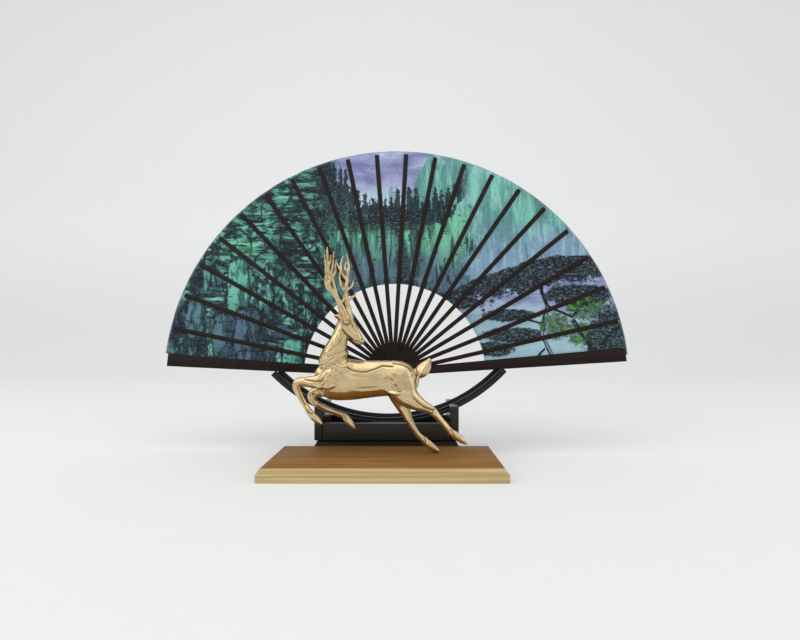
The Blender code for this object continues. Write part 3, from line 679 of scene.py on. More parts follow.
    def middle_cliffs(self):
        """Tall faces with upright streaks that sink into slate mist."""
        g = self.g
        c = colours()
        upright = g.noise(g.stretch(self.place, (7.0, 1.1, 1.0)), 1.5, 4.0, 0.6, 0.5)
        rock = g.mix(g.step(upright, 0.36, 0.62), c.paint_teal, c.paint_mint)
        sun = g.step(g.noise(g.stretch(self.place, (2.2, 1.0, 1.0), (3.0, 0.0, 0.0)), 1.4, 3.0),
                     0.48, 0.62)
        rock = g.mix(g.times(sun, 0.6), rock, linear(118, 192, 154))
        aside = g.sum(self.x, -0.75, g.times(self.y, -0.1), g.times(self.wobble, 0.4))
        pillar = g.times(g.step(g.size_of(aside), 0.5, 0.25), g.step(self.y, 1.25, 1.5))
        rock = g.mix(g.times(pillar, 0.55, g.step(upright, 0.34, 0.5)), rock,
                     linear(124, 192, 160))
        base = g.sum(self.y, g.times(self.wobble, 0.9))
        rock = g.mix(g.times(g.step(base, 1.95, 1.25), 0.8), rock, linear(84, 100, 128))
        cracks = g.noise(g.stretch(self.place, (15.0, 2.6, 1.0)), 1.0, 2.5, 0.6, 0.6)
        ticks = g.noise(g.stretch(self.place, (7.0, 17.0, 1.0), (4.0, 1.0, 0.0)), 1.0, 2.0, 0.6)
        ink = g.most(g.times(g.step(cracks, 0.56, 0.63), 0.85),
                     g.times(g.step(ticks, 0.62, 0.67), 0.85))
        rock = g.mix(ink, rock, linear(30, 48, 60))
        contour = g.most(self.path(((0.92, 2.5), (1.1, 2.1), (1.2, 1.7), (1.16, 1.3)), 0.06),
                         self.path(((0.18, 2.15), (0.3, 1.8), (0.3, 1.3)), 0.07))
        return g.mix(g.times(contour, 0.75), rock, linear(34, 54, 62))

    def misty_cliffs(self):
        """Far faces on the right, pale mint above and lilac below."""
        g = self.g
        upright = g.noise(g.stretch(self.place, (5.0, 0.8, 1.0)), 1.6, 4.0, 0.6, 0.4)
        rock = g.mix(g.step(upright, 0.36, 0.66), linear(92, 144, 140), linear(136, 198, 184))
        low = g.sum(self.y, g.times(self.wobble, 0.7), g.times(self.x, -0.12))
        rock = g.mix(g.times(g.step(low, 1.95, 1.35), 0.85), rock, linear(132, 152, 184))
        cracks = g.lines(g.stretch(self.place, (7.0, 1.5, 1.0), (2.0, 5.0, 0.0)), 1.5, 0.022,
                         3.0, 0.5)
        rock = g.mix(g.times(cracks, 0.4), rock, linear(72, 112, 118))
        runs = g.noise(g.stretch(self.place, (14.0, 2.4, 1.0), (7.0, 3.0, 0.0)), 1.0, 2.5, 0.6, 0.5)
        rock = g.mix(g.times(g.step(runs, 0.56, 0.66), 0.5), rock, linear(66, 104, 108))
        rock = g.mix(g.times(g.step(runs, 0.44, 0.36), 0.4), rock, linear(168, 214, 202))
        veil = g.step(g.noise(self.place, 1.5, 3.0), 0.5, 0.68)
        return g.mix(g.times(veil, 0.4), rock, linear(150, 172, 196))

    def water(self):
        """Still water in level bands, greener towards the near shore."""
        g = self.g
        flow = g.noise(g.stretch(self.place, (1.0, 3.0, 1.0)), 1.9, 4.0, 0.6, 0.4)
        water = g.mix(g.step(flow, 0.38, 0.62), linear(122, 132, 170), linear(164, 180, 202))
        return g.mix(g.times(g.step(self.y, 0.95, 0.5), 0.8), water, linear(158, 192, 198))

    def foliage(self, mask, color, density=0.56):
        """Dabs of leaf ink inside a mask, with a few pale ones, laid over a colour."""
        g = self.g
        dabs = g.noise(g.stretch(self.place, (1.0, 1.35, 1.0)), 25.0, 2.0, 0.6, 0.4)
        inked = g.times(mask, g.step(dabs, density - 0.02, density - 0.12))
        color = g.mix(g.times(mask, 0.9), color, linear(32, 44, 56))
        color = g.mix(inked, color, linear(16, 22, 32))
        light = g.times(mask, g.step(dabs, 0.61, 0.66))
        return g.mix(g.times(light, 0.75), color, linear(116, 148, 146))

    def make(self):
        """Lays the fields over each other, from the sky to the bush at the right edge."""
        g = self.g
        rise = g.times(g.step(self.x, 0.62, 1.5), 1.1)
        fall = g.times(g.step(self.x, -0.45, -1.25), 1.2)
        skyline = g.sum(rise, fall, g.times(self.wobble, 0.4), 2.17)
        color = self.add_land(self.sky(), skyline)
        color = self.add_woods(color, skyline)
        color = self.add_shore(color)
        color = self.add_trunks(color)
        for spot in ((2.08, 0.6, 0.2, 0.17), (2.49, 0.84, 0.25, 0.16), (2.4, 0.5, 0.17, 0.15)):
            color = self.add_bush(color, spot)
        color = self.foliage(g.times(self.blob(2.84, 0.4, 0.36, 0.46), 0.95), color)
        return self.varnish(color)

    def add_land(self, color, skyline):
        """The far peak, a pale row of firs, and the three kinds of cliff below the skyline."""
        g = self.g
        misty = self.misty_cliffs()
        peak = g.sum(g.times(g.step(self.x, -0.02, 0.62), 0.95), g.times(self.ragged, 0.06),
                     g.times(self.wobble, 0.3), 2.1)
        color = g.mix(self.below(peak, 0.015), color, misty)
        far = self.trees(g.sum(skyline, 0.1), 0.075, 0.26, 3.0)
        color = g.mix(g.times(far, 0.55), color, linear(92, 120, 140))
        side = g.sum(self.x, g.times(self.wobble, 1.2))
        ground = g.mix(g.step(side, -0.62, -0.95), self.middle_cliffs(), self.left_cliffs())
        ground = g.mix(g.step(g.sum(side, g.times(self.y, 0.12)), 1.12, 1.3), ground, misty)
        return g.mix(self.below(skyline, 0.02), color, ground)

    def add_woods(self, color, skyline):
        """Two near rows of firs, the wood under them, and the dark trees in the cleft."""
        g = self.g
        for level, wide, tall, seed in ((0.02, 0.085, 0.34, 0.0), (-0.13, 0.07, 0.3, 7.0)):
            row = self.trees(g.sum(skyline, level), wide, tall, seed)
            near = g.times(row, g.step(self.x, 1.05, 0.85))
            color = g.mix(g.times(near, 0.93), color, linear(26, 42, 52))
        shelf = g.sum(g.times(self.wobble, 0.5), 1.88)
        wood = g.times(self.above(shelf, 0.06), self.below(skyline, 0.06),
                       g.step(g.size_of(g.sum(self.x, 0.35)), 0.95, 0.6))
        color = self.foliage(g.times(wood, 0.85), color, 0.5)
        cleft = g.sum(self.x, g.times(self.wobble, 0.3), g.times(self.y, 0.12))
        shade = g.times(g.step(g.size_of(g.sum(cleft, -0.3)), 0.13, 0.04),
                        g.step(self.y, 2.2, 2.0))
        return self.foliage(g.times(shade, 0.9), color, 0.5)

    def add_shore(self, color):
        """The water, and the dark trees and islets that stand in it."""
        g = self.g
        bank = g.sum(g.times(g.step(self.x, 0.1, 2.3), 0.56), g.times(self.wobble, 0.16), 0.98)
        low = g.times(self.below(bank, 0.015), g.step(self.x, 0.16, 0.4))
        color = g.mix(low, color, self.water())
        under = g.sum(bank, g.times(self.ragged, 0.34), g.times(self.wobble, 0.5), -0.34)
        canopy = g.times(low, self.above(under, 0.025))
        for islet in ((1.5, 0.74, 0.34, 0.08), (1.55, 0.48, 0.4, 0.1), (1.3, 0.3, 0.24, 0.1),
                      (2.4, 1.0, 0.44, 0.15)):
            canopy = g.most(canopy, g.times(low, self.blob(*islet)))
        return self.foliage(canopy, color)

    def add_trunks(self, color):
        """The leaning tree at the water with its boughs, and a pale edge down its trunk."""
        g = self.g
        limbs = ((((1.86, 1.25), (1.99, 0.86), (1.9, 0.5), (2.02, 0.22), (1.98, 0.02)), 0.034),
                 (((1.99, 0.86), (2.3, 0.72), (2.5, 0.9)), 0.022),
                 (((1.95, 0.62), (1.6, 0.72), (1.4, 0.66)), 0.018),
                 (((1.93, 0.3), (1.78, 0.14), (1.74, 0.04)), 0.018),
                 (((2.32, 0.66), (2.52, 0.34), (2.5, 0.02)), 0.04),
                 (((2.9, 0.6), (2.66, 0.36), (2.68, 0.02)), 0.034))
        for points, width in limbs:
            color = g.mix(self.path(points, width), color, linear(22, 28, 36))
        pale = self.path(((1.995, 0.84), (1.905, 0.5), (2.025, 0.22)), 0.012)
        return g.mix(g.times(pale, 0.8), color, linear(150, 186, 190))

    def add_bush(self, color, spot):
        """Dabs of two greens and thin twigs inside a ragged oval."""
        g = self.g
        bush = self.blob(*spot, rag=1.5)
        dab = g.noise(self.place, 15.0, 2.0, 0.65)
        green = g.mix(g.step(dab, 0.48, 0.62), linear(40, 78, 50), colours().paint_leaf)
        color = g.mix(g.times(bush, 0.5), color, linear(30, 44, 44))
        color = g.mix(g.times(bush, g.step(dab, 0.46, 0.52)), color, green)
        twigs = g.lines(self.place, 6.0, 0.035, 2.0, 0.8)
        return g.mix(g.times(bush, twigs, 0.85), color, linear(22, 32, 34))

    def varnish(self, color):
        """Brush texture, weave, the bound rim, and the paler print on the back."""
        g = self.g
        brush = g.noise(g.stretch(self.place, (1.0, 1.8, 1.0)), 34.0, 3.0, 0.65)
        color = g.mix(g.times(g.step(brush, 0.5, 0.68), 0.14), color, linear(196, 220, 214))
        color = g.mix(g.times(g.step(brush, 0.5, 0.34), 0.16), color, linear(24, 36, 48))
        deep = g.node("ShaderNodeGamma", {"Color": color, "Gamma": 1.16})
        color = g.stretch(deep, (1.14, 1.14, 1.14))
        radius = g.hypot(self.x, self.y)
        rim = g.most(g.step(radius, 2.982, 2.988), g.step(radius, 1.182, 1.178))
        color = g.mix(g.times(rim, 0.35), color, colours().paint_rim)
        facing = g.split(g.place("Normal"))[1]
        color = g.mix(g.times(g.step(facing, 0.0, 0.4), 0.45), color, linear(176, 182, 184))
        warp = g.math("SINE", g.times(self.x, 900.0))
        weft = g.math("SINE", g.times(self.y, 900.0))
        weave = g.sum(g.times(warp, 0.5), g.times(weft, 0.5), brush)
        return g.set(color=color, roughness=g.sum(g.times(brush, 0.2), 0.58),
                     normal=g.bump(weave, 0.00003, 0.5), sheen=0.06, specular=0.2)


@finish_once
def painted_leaf():
    return Painting().make()


# Mesh helpers ------------------------------------------------------------------------------------

def add_object(name, bm, surface, smooth_angle=None):
    mesh = bpy.data.meshes.new(name)
    bm.to_mesh(mesh)
    bm.free()
    mesh.materials.append(surface)
    piece = bpy.data.objects.new(name, mesh)
    bpy.context.scene.collection.objects.link(piece)
    if smooth_angle is not None:
        mesh.shade_smooth()
        mesh.set_sharp_from_angle(angle=math.radians(smooth_angle))
    return piece


def only(kind, items):
    """The vertices, or the edges, out of what a mesh operator gave back."""
    return [item for item in items if isinstance(item, kind)]


def belong(piece, body, slot, *nodes):
    """Lets the piece ride on its body, and names its finish and the nodes that it stands for."""
    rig.ride(piece, body)
    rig.slot(piece, slot)
    if nodes:
        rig.replaces(piece, *nodes)
    return piece


def body_of_node(node):
    return frame["nodes"][node]["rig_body"]


def softened(node, width, segments, surface, slot, name):
    """The node's own solid again, merged, with its hard edges rounded."""
    bm = bmesh.new()
    bm.from_mesh(frame["nodes"][node].data)
    bmesh.ops.remove_doubles(bm, verts=bm.verts[:], dist=1e-6)
    bmesh.ops.dissolve_limit(bm, angle_limit=math.radians(1.0), verts=bm.verts[:],
                             edges=bm.edges[:], delimit=set())
    hard = [edge for edge in bm.edges
            if len(edge.link_faces) == 2 and edge.calc_face_angle() > math.radians(35.0)]
    bmesh.ops.bevel(bm, geom=hard, offset=width, offset_type="OFFSET", segments=segments,
                    profile=0.5, affect="EDGES", clamp_overlap=True, material=-1)
    piece = add_object(name, bm, surface, 40.0)
    return belong(piece, body_of_node(node), slot, node)


def ring_matrix(centre, along, tall, wide):
    """Where a unit circle in XY goes: its X to the tube's up side, its Y across."""
    across = (Vector((0.0, 1.0, 0.0)) - along * along.y).normalized()
    up = along.cross(across)
    turn = Matrix((up * tall, across * wide, along)).transposed()
    return Matrix.Translation(centre) @ turn.to_4x4()


def spline(stations, steps):
    """Smooth stations in between the given ones, by a Catmull-Rom curve."""
    rows = [stations[0], *stations, stations[-1]]
    made = []
    for a, b, c, d in zip(rows, rows[1:], rows[2:], rows[3:]):
        for step in range(steps):
            t = step / steps
            made.append([0.5 * (2 * q + (r - p) * t + (2 * p - 5 * q + 4 * r - s) * t * t
                                + (3 * q - p - 3 * r + s) * t ** 3)
                         for p, q, r, s in zip(a, b, c, d)])
    made.append(list(stations[-1]))
    return made


def stag_point(x, z, y):
    return STAG_ORIGIN + Vector((x * MM, y * MM, z * MM))


def limb(bm, stations, steps=4, sides=20):
    """A closed tube of oval rings through the stations, with rounded ends."""
    rows = spline(stations, steps)
    centres = [stag_point(x, z, y) for x, z, y, _, _ in rows]
    tall = [row[3] * MM for row in rows]
    wide = [row[4] * MM for row in rows]
    for end, inner in ((0, 1), (-1, -2)):
        outwards = (centres[end] - centres[inner]).normalized()
        centre, high, broad = centres[end], tall[end], wide[end]
        for rise, share in ((0.4, 0.8), (0.6, 0.35)):
            where = len(centres) if end else 0
            centres.insert(where, centre + outwards * min(high, broad) * rise)
            tall.insert(where, high * share)
            wide.insert(where, broad * share)
    placed = []
    for i, centre in enumerate(centres):
        before = centres[max(i - 1, 0)]
        after = centres[min(i + 1, len(centres) - 1)]
        placed.append(ring_matrix(centre, (after - before).normalized(), tall[i], wide[i]))
    first = bmesh.ops.create_circle(bm, cap_ends=True, cap_tris=False, segments=sides, radius=1.0,
                                    matrix=placed[0])
    edges = list({edge for vert in first["verts"] for edge in vert.link_edges})
    for before, after in zip(placed, placed[1:]):
        grown = bmesh.ops.extrude_edge_only(bm, edges=edges)["geom"]
        ring = only(bmesh.types.BMVert, grown)
        inside = set(ring)
        edges = [edge for edge in only(bmesh.types.BMEdge, grown)
                 if edge.verts[0] in inside and edge.verts[1] in inside]
        bmesh.ops.transform(bm, matrix=after @ before.inverted(), verts=ring)
    bmesh.ops.contextual_create(bm, geom=edges)


def melt(name, bm, voxel, passes, surface):
    """Overlapping tubes become one closed skin, which is then relaxed."""
    bmesh.ops.recalc_face_normals(bm, faces=bm.faces[:])
    rough = add_object(name + "_rough", bm, surface)
    skin = rough.modifiers.new("skin", "REMESH")
    skin.mode = "VOXEL"
    skin.voxel_size = voxel
    relax = rough.modifiers.new("relax", "SMOOTH")
    relax.factor = 0.5
    relax.iterations = passes
    graph = bpy.context.evaluated_depsgraph_get()
    mesh = bpy.data.meshes.new_from_object(rough.evaluated_get(graph))
    bpy.data.objects.remove(rough)
    mesh.name = name
    mesh.shade_smooth()
    piece = bpy.data.objects.new(name, mesh)
    bpy.context.scene.collection.objects.link(piece)
    return piece


# Stage -------------------------------------------------------------------------------------------

def studio_paper():
    """White paper that is a little paler up the wall, where less light reaches it."""
    g = Graph("studio_paper", 0.9)
    place = g.place()
    fibres = g.times(g.less(g.noise(place, 40.0, 3.0, 0.6), 0.5), 0.02)
    height = g.step(g.split(place)[2], 0.1, 0.9)
    level = g.sum(g.times(height, 0.18), fibres, 0.76)
    color = g.node("ShaderNodeCombineColor", {"Red": level, "Green": level, "Blue": level})
    return g.set(color=color)


# Square lamps, all turned to the fan: name, place, side in metres and power in watts
LAMPS = (
    ("overhead_softbox", (-0.3, -0.2, 2.3), 2.4, 10.0),
    ("left_softbox", (-1.9, -1.5, 1.3), 1.5, 11.0),
    ("right_softbox", (2.0, -1.3, 0.9), 1.2, 4.0),
    ("front_fill", (0.2, -2.6, 0.7), 1.6, 2.0))
LAMP_AIM = Vector((0.0, 0.06, 0.15))
LAMP_COLOUR = (1.0, 0.985, 0.96)
AIR_COLOUR = (0.985, 0.995, 1.0, 1.0)
AIR_AT_HORIZON = 0.44
AIR_OVERHEAD = 1.1


class HANDFAN_OT_stage(bpy.types.Operator):
    """Camera, soft studio light and a pale floor that curves up behind the ornament"""

    bl_idname = "handfan.stage"
    bl_label = "Stage"

    def execute(self, context):
        self.make_floor()
        self.make_camera(context)
        self.make_air(context)
        self.make_lamps(context)
        return {"FINISHED"}

    def make_floor(self):
        bm = bmesh.new()
        half_width, front, back, cove, top = 5.0, -4.0, 1.7, 0.9, 5.0
        corners = [bm.verts.new((x, front, 0.0)) for x in (-half_width, half_width)]
        edge = bm.edges.new(corners)
        grown = bmesh.ops.extrude_edge_only(bm, edges=[edge])["geom"]
        verts = only(bmesh.types.BMVert, grown)
        bmesh.ops.translate(bm, verts=verts, vec=(0.0, back - front, 0.0))
        edges = [rim for rim in only(bmesh.types.BMEdge, grown)
                 if all(vert in verts for vert in rim.verts)]
        spun = bmesh.ops.spin(bm, geom=verts + edges, cent=(0.0, back, cove),
                              axis=(1.0, 0.0, 0.0), angle=math.pi / 2, steps=24,
                              use_merge=False)["geom_last"]
        grown = bmesh.ops.extrude_edge_only(bm, edges=only(bmesh.types.BMEdge, spun))["geom"]
        bmesh.ops.translate(bm, verts=only(bmesh.types.BMVert, grown), vec=(0.0, 0.0, top))
        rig.stage(add_object("studio_floor", bm, studio_paper(), 60.0))

    def make_camera(self, context):
        lens = bpy.data.cameras.new("camera")
        lens.sensor_width = 36.0
        lens.lens = 27.0
        lens.shift_x = -0.00725
        lens.shift_y = 0.0225
        camera = bpy.data.objects.new("camera", lens)
        camera.location = (0.0234, -0.6619, 0.1446)
        camera.rotation_euler = (math.pi / 2, 0.0, 0.0)
        context.scene.collection.objects.link(camera)
        context.scene.camera = camera

    def make_air(self, context):
        """Even studio light from all sides, brighter overhead than at the horizon."""
        context.scene.view_settings.view_transform = "Standard"
        world = bpy.data.worlds.new("studio_air")
        context.scene.world = world
        world.use_nodes = True
        nodes, links = world.node_tree.nodes, world.node_tree.links
        air = nodes["Background"]
        air.inputs["Color"].default_value = AIR_COLOUR
        parts = nodes.new("ShaderNodeSeparateXYZ")
        links.new(nodes.new("ShaderNodeTexCoord").outputs["Generated"], parts.inputs[0])
        ramp = nodes.new("ShaderNodeMapRange")
        ramp.interpolation_type = "SMOOTHSTEP"
        for socket, value in (("From Min", 0.0), ("From Max", 0.75),
                              ("To Min", AIR_AT_HORIZON), ("To Max", AIR_OVERHEAD)):
            ramp.inputs[socket].default_value = value
        links.new(parts.outputs["Z"], ramp.inputs["Value"])
        links.new(ramp.outputs["Result"], air.inputs["Strength"])

    def make_lamps(self, context):
        for name, place, size, power in LAMPS:
            lamp = bpy.data.lights.new(name, "AREA")
            lamp.shape = "SQUARE"
            lamp.size = size
            lamp.energy = power
            lamp.color = LAMP_COLOUR
            light = bpy.data.objects.new(name, lamp)
            light.location = place
            aim = (LAMP_AIM - Vector(place)).to_track_quat("-Z", "Y")
            light.rotation_euler = aim.to_euler()
            context.scene.collection.objects.link(light)


# Board, stand and cradle -------------------------------------------------------------------------

class HANDFAN_OT_board(bpy.types.Operator):
    """The board under the stag, and the hidden dowels and stud that hold things to it"""

    bl_idname = "handfan.board"
    bl_label = "Board and pegs"

    def execute(self, context):
        softened("base_board", sizes().board_round, 3, board_wood(), "board_wood", "board")
        for node, make in (("left_dowel", beech), ("right_dowel", beech),
                           ("hoof_stud", plain_steel)):
            mesh = frame["nodes"][node].data
            mesh.materials.clear()
            mesh.materials.append(make())
        return {"FINISHED"}


class HANDFAN_OT_stand(bpy.types.Operator):
    """The stand's foot, rails and horned end plates, with softened edges"""

    bl_idname = "handfan.stand"
    bl_label = "Stand"

    def execute(self, context):
        for node in ("stand_foot", "front_rail", "rear_rail", "left_end_plate",
                     "right_end_plate"):
            # The foot gets the darker finish: painted shade for its place under the block
            lacquer = foot_lacquer_painted_shade() if node == "stand_foot" else stand_lacquer()
            softened(node, sizes().stand_round, 3, lacquer, "black_lacquer",
                     node + "_lacquered")
        return {"FINISHED"}


# The lips' sections: share of the lip's thickness from its outer side, share of its height
FRONT_LIP = ((1.0, 0.0), (0.22, 0.0), (0.07, 0.03), (0.0, 0.1), (0.0, 0.34), (0.03, 0.45),
             (0.11, 0.53), (0.22, 0.58), (0.34, 0.6), (0.36, 0.62), (0.36, 0.66), (0.33, 0.68),
             (0.22, 0.7), (0.15, 0.75), (0.12, 0.83), (0.16, 0.92), (0.25, 0.98), (0.38, 1.0),
             (0.85, 1.0), (0.96, 0.98), (1.0, 0.93))
REAR_LIP = ((1.0, 0.0), (0.1, 0.0), (0.0, 0.05), (0.0, 0.62), (0.03, 0.66), (0.2, 0.68),
            (0.2, 0.71), (0.06, 0.74), (0.0, 0.8), (0.02, 0.92), (0.12, 0.99), (0.3, 1.0),
            (0.85, 1.0), (0.96, 0.98), (1.0, 0.93))


class HANDFAN_OT_cradle(bpy.types.Operator):
    """The bent channel that holds the fan: a floor between two moulded lips"""

    bl_idname = "handfan.cradle"
    bl_label = "Cradle"

    steps = 96
    floor_round = 0.3 * MM
    front_height = 8.0 * MM
    rear_height = 9.3 * MM

    def execute(self, context):
        softened("cradle_floor", self.floor_round, 2, cradle_lacquer(), "black_lacquer",
                 "channel_floor")
        self.make_lip("cradle_front_lip", FRONT_LIP, 1, self.front_height, "moulded_front_lip")
        self.make_lip("cradle_rear_lip", REAR_LIP, -1, self.rear_height, "moulded_rear_lip")
        return {"FINISHED"}

    def make_lip(self, node, section, side, height, name):
        """Spins a moulded section along the cradle's arc; side is 1 for the front lip."""
        low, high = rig.box(node)
        radius = sizes().cradle_radius
        centre = Vector((0.0, 0.0, low.z + radius))
        left = math.asin(-low.x / radius)
        right = math.asin(high.x / radius)
        thickness = high.y - low.y
        outer = low.y if side > 0 else high.y
        bm = bmesh.new()
        verts = [bm.verts.new((0.0, outer + side * thickness * across, low.z + height * up))
                 for across, up in section]
        face = bm.faces.new(verts)
        bmesh.ops.rotate(bm, verts=verts, cent=centre, matrix=Matrix.Rotation(left, 3, "Y"))
        bmesh.ops.spin(bm, geom=[face], cent=centre, axis=(0.0, -1.0, 0.0), angle=left + right,
                       steps=self.steps, use_merge=False)
        bmesh.ops.recalc_face_normals(bm, faces=bm.faces[:])
        piece = add_object(name, bm, cradle_lacquer(), 38.0)
        belong(piece, "stand", "black_lacquer", node)


# Fan ---------------------------------------------------------------------------------------------

def rib_angle(index):
    away = (RIB_COUNT + 1) / 2 - index
    return CENTRE_ANGLE + RIB_STEP * away * (1 + RIB_SPREAD * away * away)


def stick_angle(index):
    """Stick 0 is the left guard and stick 21 the right one; degrees from the right, upwards."""
    if index == 0:
        return rib_angle(1) + LEFT_GUARD_STEP
    if index > RIB_COUNT:
        return rib_angle(RIB_COUNT) - RIGHT_GUARD_STEP
    return rib_angle(index)


def rib_back(index):
    return (index - (RIB_COUNT + 1) / 2) * LAYER_PITCH - RIB_THICKNESS / 2


def stick_node(index):
    if index == 0:
        return "guard_left"
    return "guard_right" if index > RIB_COUNT else f"rib_{index:02d}"


class HANDFAN_OT_sticks(bpy.types.Operator):
    """The twenty ribs and the two guards, in dark stained wood"""

    bl_idname = "handfan.sticks"
    bl_label = "Ribs and guards"

    def execute(self, context):
        for index in range(RIB_COUNT + 2):
            node = stick_node(index)
            width = sizes().guard_round if "guard" in node else sizes().stick_round
            softened(node, width, 2, stick_wood(), "stained_wood", node + "_stick")
        return {"FINISHED"}


def guard_half_width(radius):
    narrow, wide = GUARD_WIDTHS
    return (narrow + (wide - narrow) * radius / GUARD_LENGTH) / 2


class HANDFAN_OT_leaf(bpy.types.Operator):
    """The painted leaf: one pleat of cloth for each gap between two sticks"""

    bl_idname = "handfan.leaf"
    bl_label = "Painted leaf"

    columns = 32
    rows = 18
    fold = 0.25  # where each of a pleat's two folds lies, as a share of the gap
    guard_lap = 1.2 * MM  # how far the first pleat laps over the left guard's upper edge
    guard_fold = 0.03  # least share of the gap between the left guard's edge and the first fold
    face_gap = 0.05 * MM  # between the cloth and the stick that it lies on
    first_dip = 0.22 * MM  # how far the first pleat's middle lies behind its ribs
    rib_gap = 0.4 * MM  # beside a rib, where the cloth passes it in the shut fan
    least_room = 0.3 * MM  # the shortest run over which the cloth steps forward past a rib

    def execute(self, context):
        for index in range(RIB_COUNT + 1):
            self.make_pleat(index)
        return {"FINISHED"}

    def layers(self, index):
        """Depths of the cloth at the left stick, in front of that stick, and at the right."""
        cloth = sizes().leaf_thickness
        behind = self.face_gap + cloth / 2
        if index == 0:
            left = rib_back(1) - LAYER_PITCH + RIB_THICKNESS - LAYER_GAP + cloth / 2
            return left, rib_back(1) - behind - self.first_dip, rib_back(1) - behind
        left = rib_back(index) - behind
        front = rib_back(index) + RIB_THICKNESS
        if index == RIB_COUNT:
            return left, front + cloth * 0.6, front + cloth * 0.65
        return left, front + behind, rib_back(index + 1) - behind

    def cut_sector(self, start, gap):
        """Flat faces between the leaf's two radii, from the start angle clockwise."""
        inner, outer = sizes().leaf_inner, sizes().leaf_outer
        bm = bmesh.new()
        ends = [bm.verts.new((radius, 0.0, 0.0)) for radius in (inner, outer)]
        edge = bm.edges.new(ends)
        bmesh.ops.subdivide_edges(bm, edges=[edge], cuts=self.rows - 1)
        bmesh.ops.rotate(bm, verts=bm.verts[:], cent=(0.0, 0.0, 0.0),
                         matrix=Matrix.Rotation(math.radians(start), 3, "Z"))
        bmesh.ops.spin(bm, geom=bm.verts[:] + bm.edges[:], cent=(0.0, 0.0, 0.0),
                       axis=(0.0, 0.0, -1.0), angle=math.radians(gap), steps=self.columns,
                       use_merge=False)
        bmesh.ops.recalc_face_normals(bm, faces=bm.faces[:])
        if sum(face.normal.z for face in bm.faces) < 0:
            bmesh.ops.reverse_faces(bm, faces=bm.faces[:])
        bm.verts.index_update()
        return bm

    def make_pleat(self, index):
        start = stick_angle(index)
        gap = start - stick_angle(index + 1)
        inner, outer = sizes().leaf_inner, sizes().leaf_outer
        bm = self.cut_sector(start, gap)
        places, weights, depths = [], [], []
        for vert in bm.verts:
            radius = vert.co.to_2d().length
            turn = math.degrees(math.atan2(vert.co.y, vert.co.x))
            share = min(max((start - turn) / gap, 0.0), 1.0)
            first_fold = self.fold
            if index == 0:
                tuck = math.asin((guard_half_width(radius) - self.guard_lap) / radius)
                tuck = math.degrees(tuck) / gap
                first_fold = max(first_fold, tuck + self.guard_fold)
                share = tuck + (1 - tuck) * share
                turn = math.radians(start - share * gap)
                vert.co.x, vert.co.y = radius * math.cos(turn), radius * math.sin(turn)
            weight = (share - first_fold) / (1 - self.fold - first_fold)
            weights.append(min(max(weight, 0.0), 1.0))
            places += (vert.co.x, vert.co.y, 0.0)
            depths.append(self.depth(index, math.radians(gap), share, radius))
        area = sum(face.calc_area() for face in bm.faces)
        for vert, depth in zip(bm.verts, depths):
            vert.co.z = depth
        bmesh.ops.transform(bm, matrix=FAN_FRAME, verts=bm.verts[:])
        name = f"leaf_pleat_{index + 1:02d}"
        piece = add_object(name, bm, painted_leaf(), 80.0)
        kept = piece.data.attributes.new("leaf_place", "FLOAT_VECTOR", "POINT")
        kept.data.foreach_set("vector", places)
        bodies = [body_of_node(stick_node(index)), body_of_node(stick_node(index + 1))]
        middle = math.radians(start - gap / 2)
        side = Vector((math.sin(middle), -math.cos(middle), 0.0)) * outer * 0.05
        centre = Vector((math.cos(middle), math.sin(middle), 0.0)) * outer
        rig.blend(piece, *bodies, start=FAN_FRAME @ (centre - side),
                 end=FAN_FRAME @ (centre + side))
        piece.data.attributes["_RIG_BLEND"].data.foreach_set("value", weights)
        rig.slot(piece, "painted_leaf")
        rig.replaces(piece, f"leaf_panel_{index + 1:02d}")
        thick = piece.modifiers.new("cloth", "SOLIDIFY")
        thick.thickness = sizes().leaf_thickness
        thick.offset = 0.0
        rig.sheet(piece, flat=(outer * math.radians(gap), outer - inner), held="stretched",
                 rests_on=[stick_node(index) + "_stick", stick_node(index + 1) + "_stick"],
                 area=area)

    def depth(self, index, gap, share, radius):
        """How far forward the cloth lies, so that it clears the sticks when the fan is shut."""
        left, middle, right = self.layers(index)
        if share <= self.fold:
            return left
        if share >= 1 - self.fold:
            return right
        shut = (0.5 - share) * gap
        if shut < 0:
            return middle + (right - middle) * min(-shut / (gap * self.fold), 1.0)
        reach = radius * math.sin(gap * self.fold)
        room = max(reach - RIB_HALF_WIDTH - self.rib_gap, self.least_room)
        rise = min(max((reach - radius * math.sin(shut)) / room, 0.0), 1.0)
        return left + (middle - left) * rise * rise * (3 - 2 * rise)


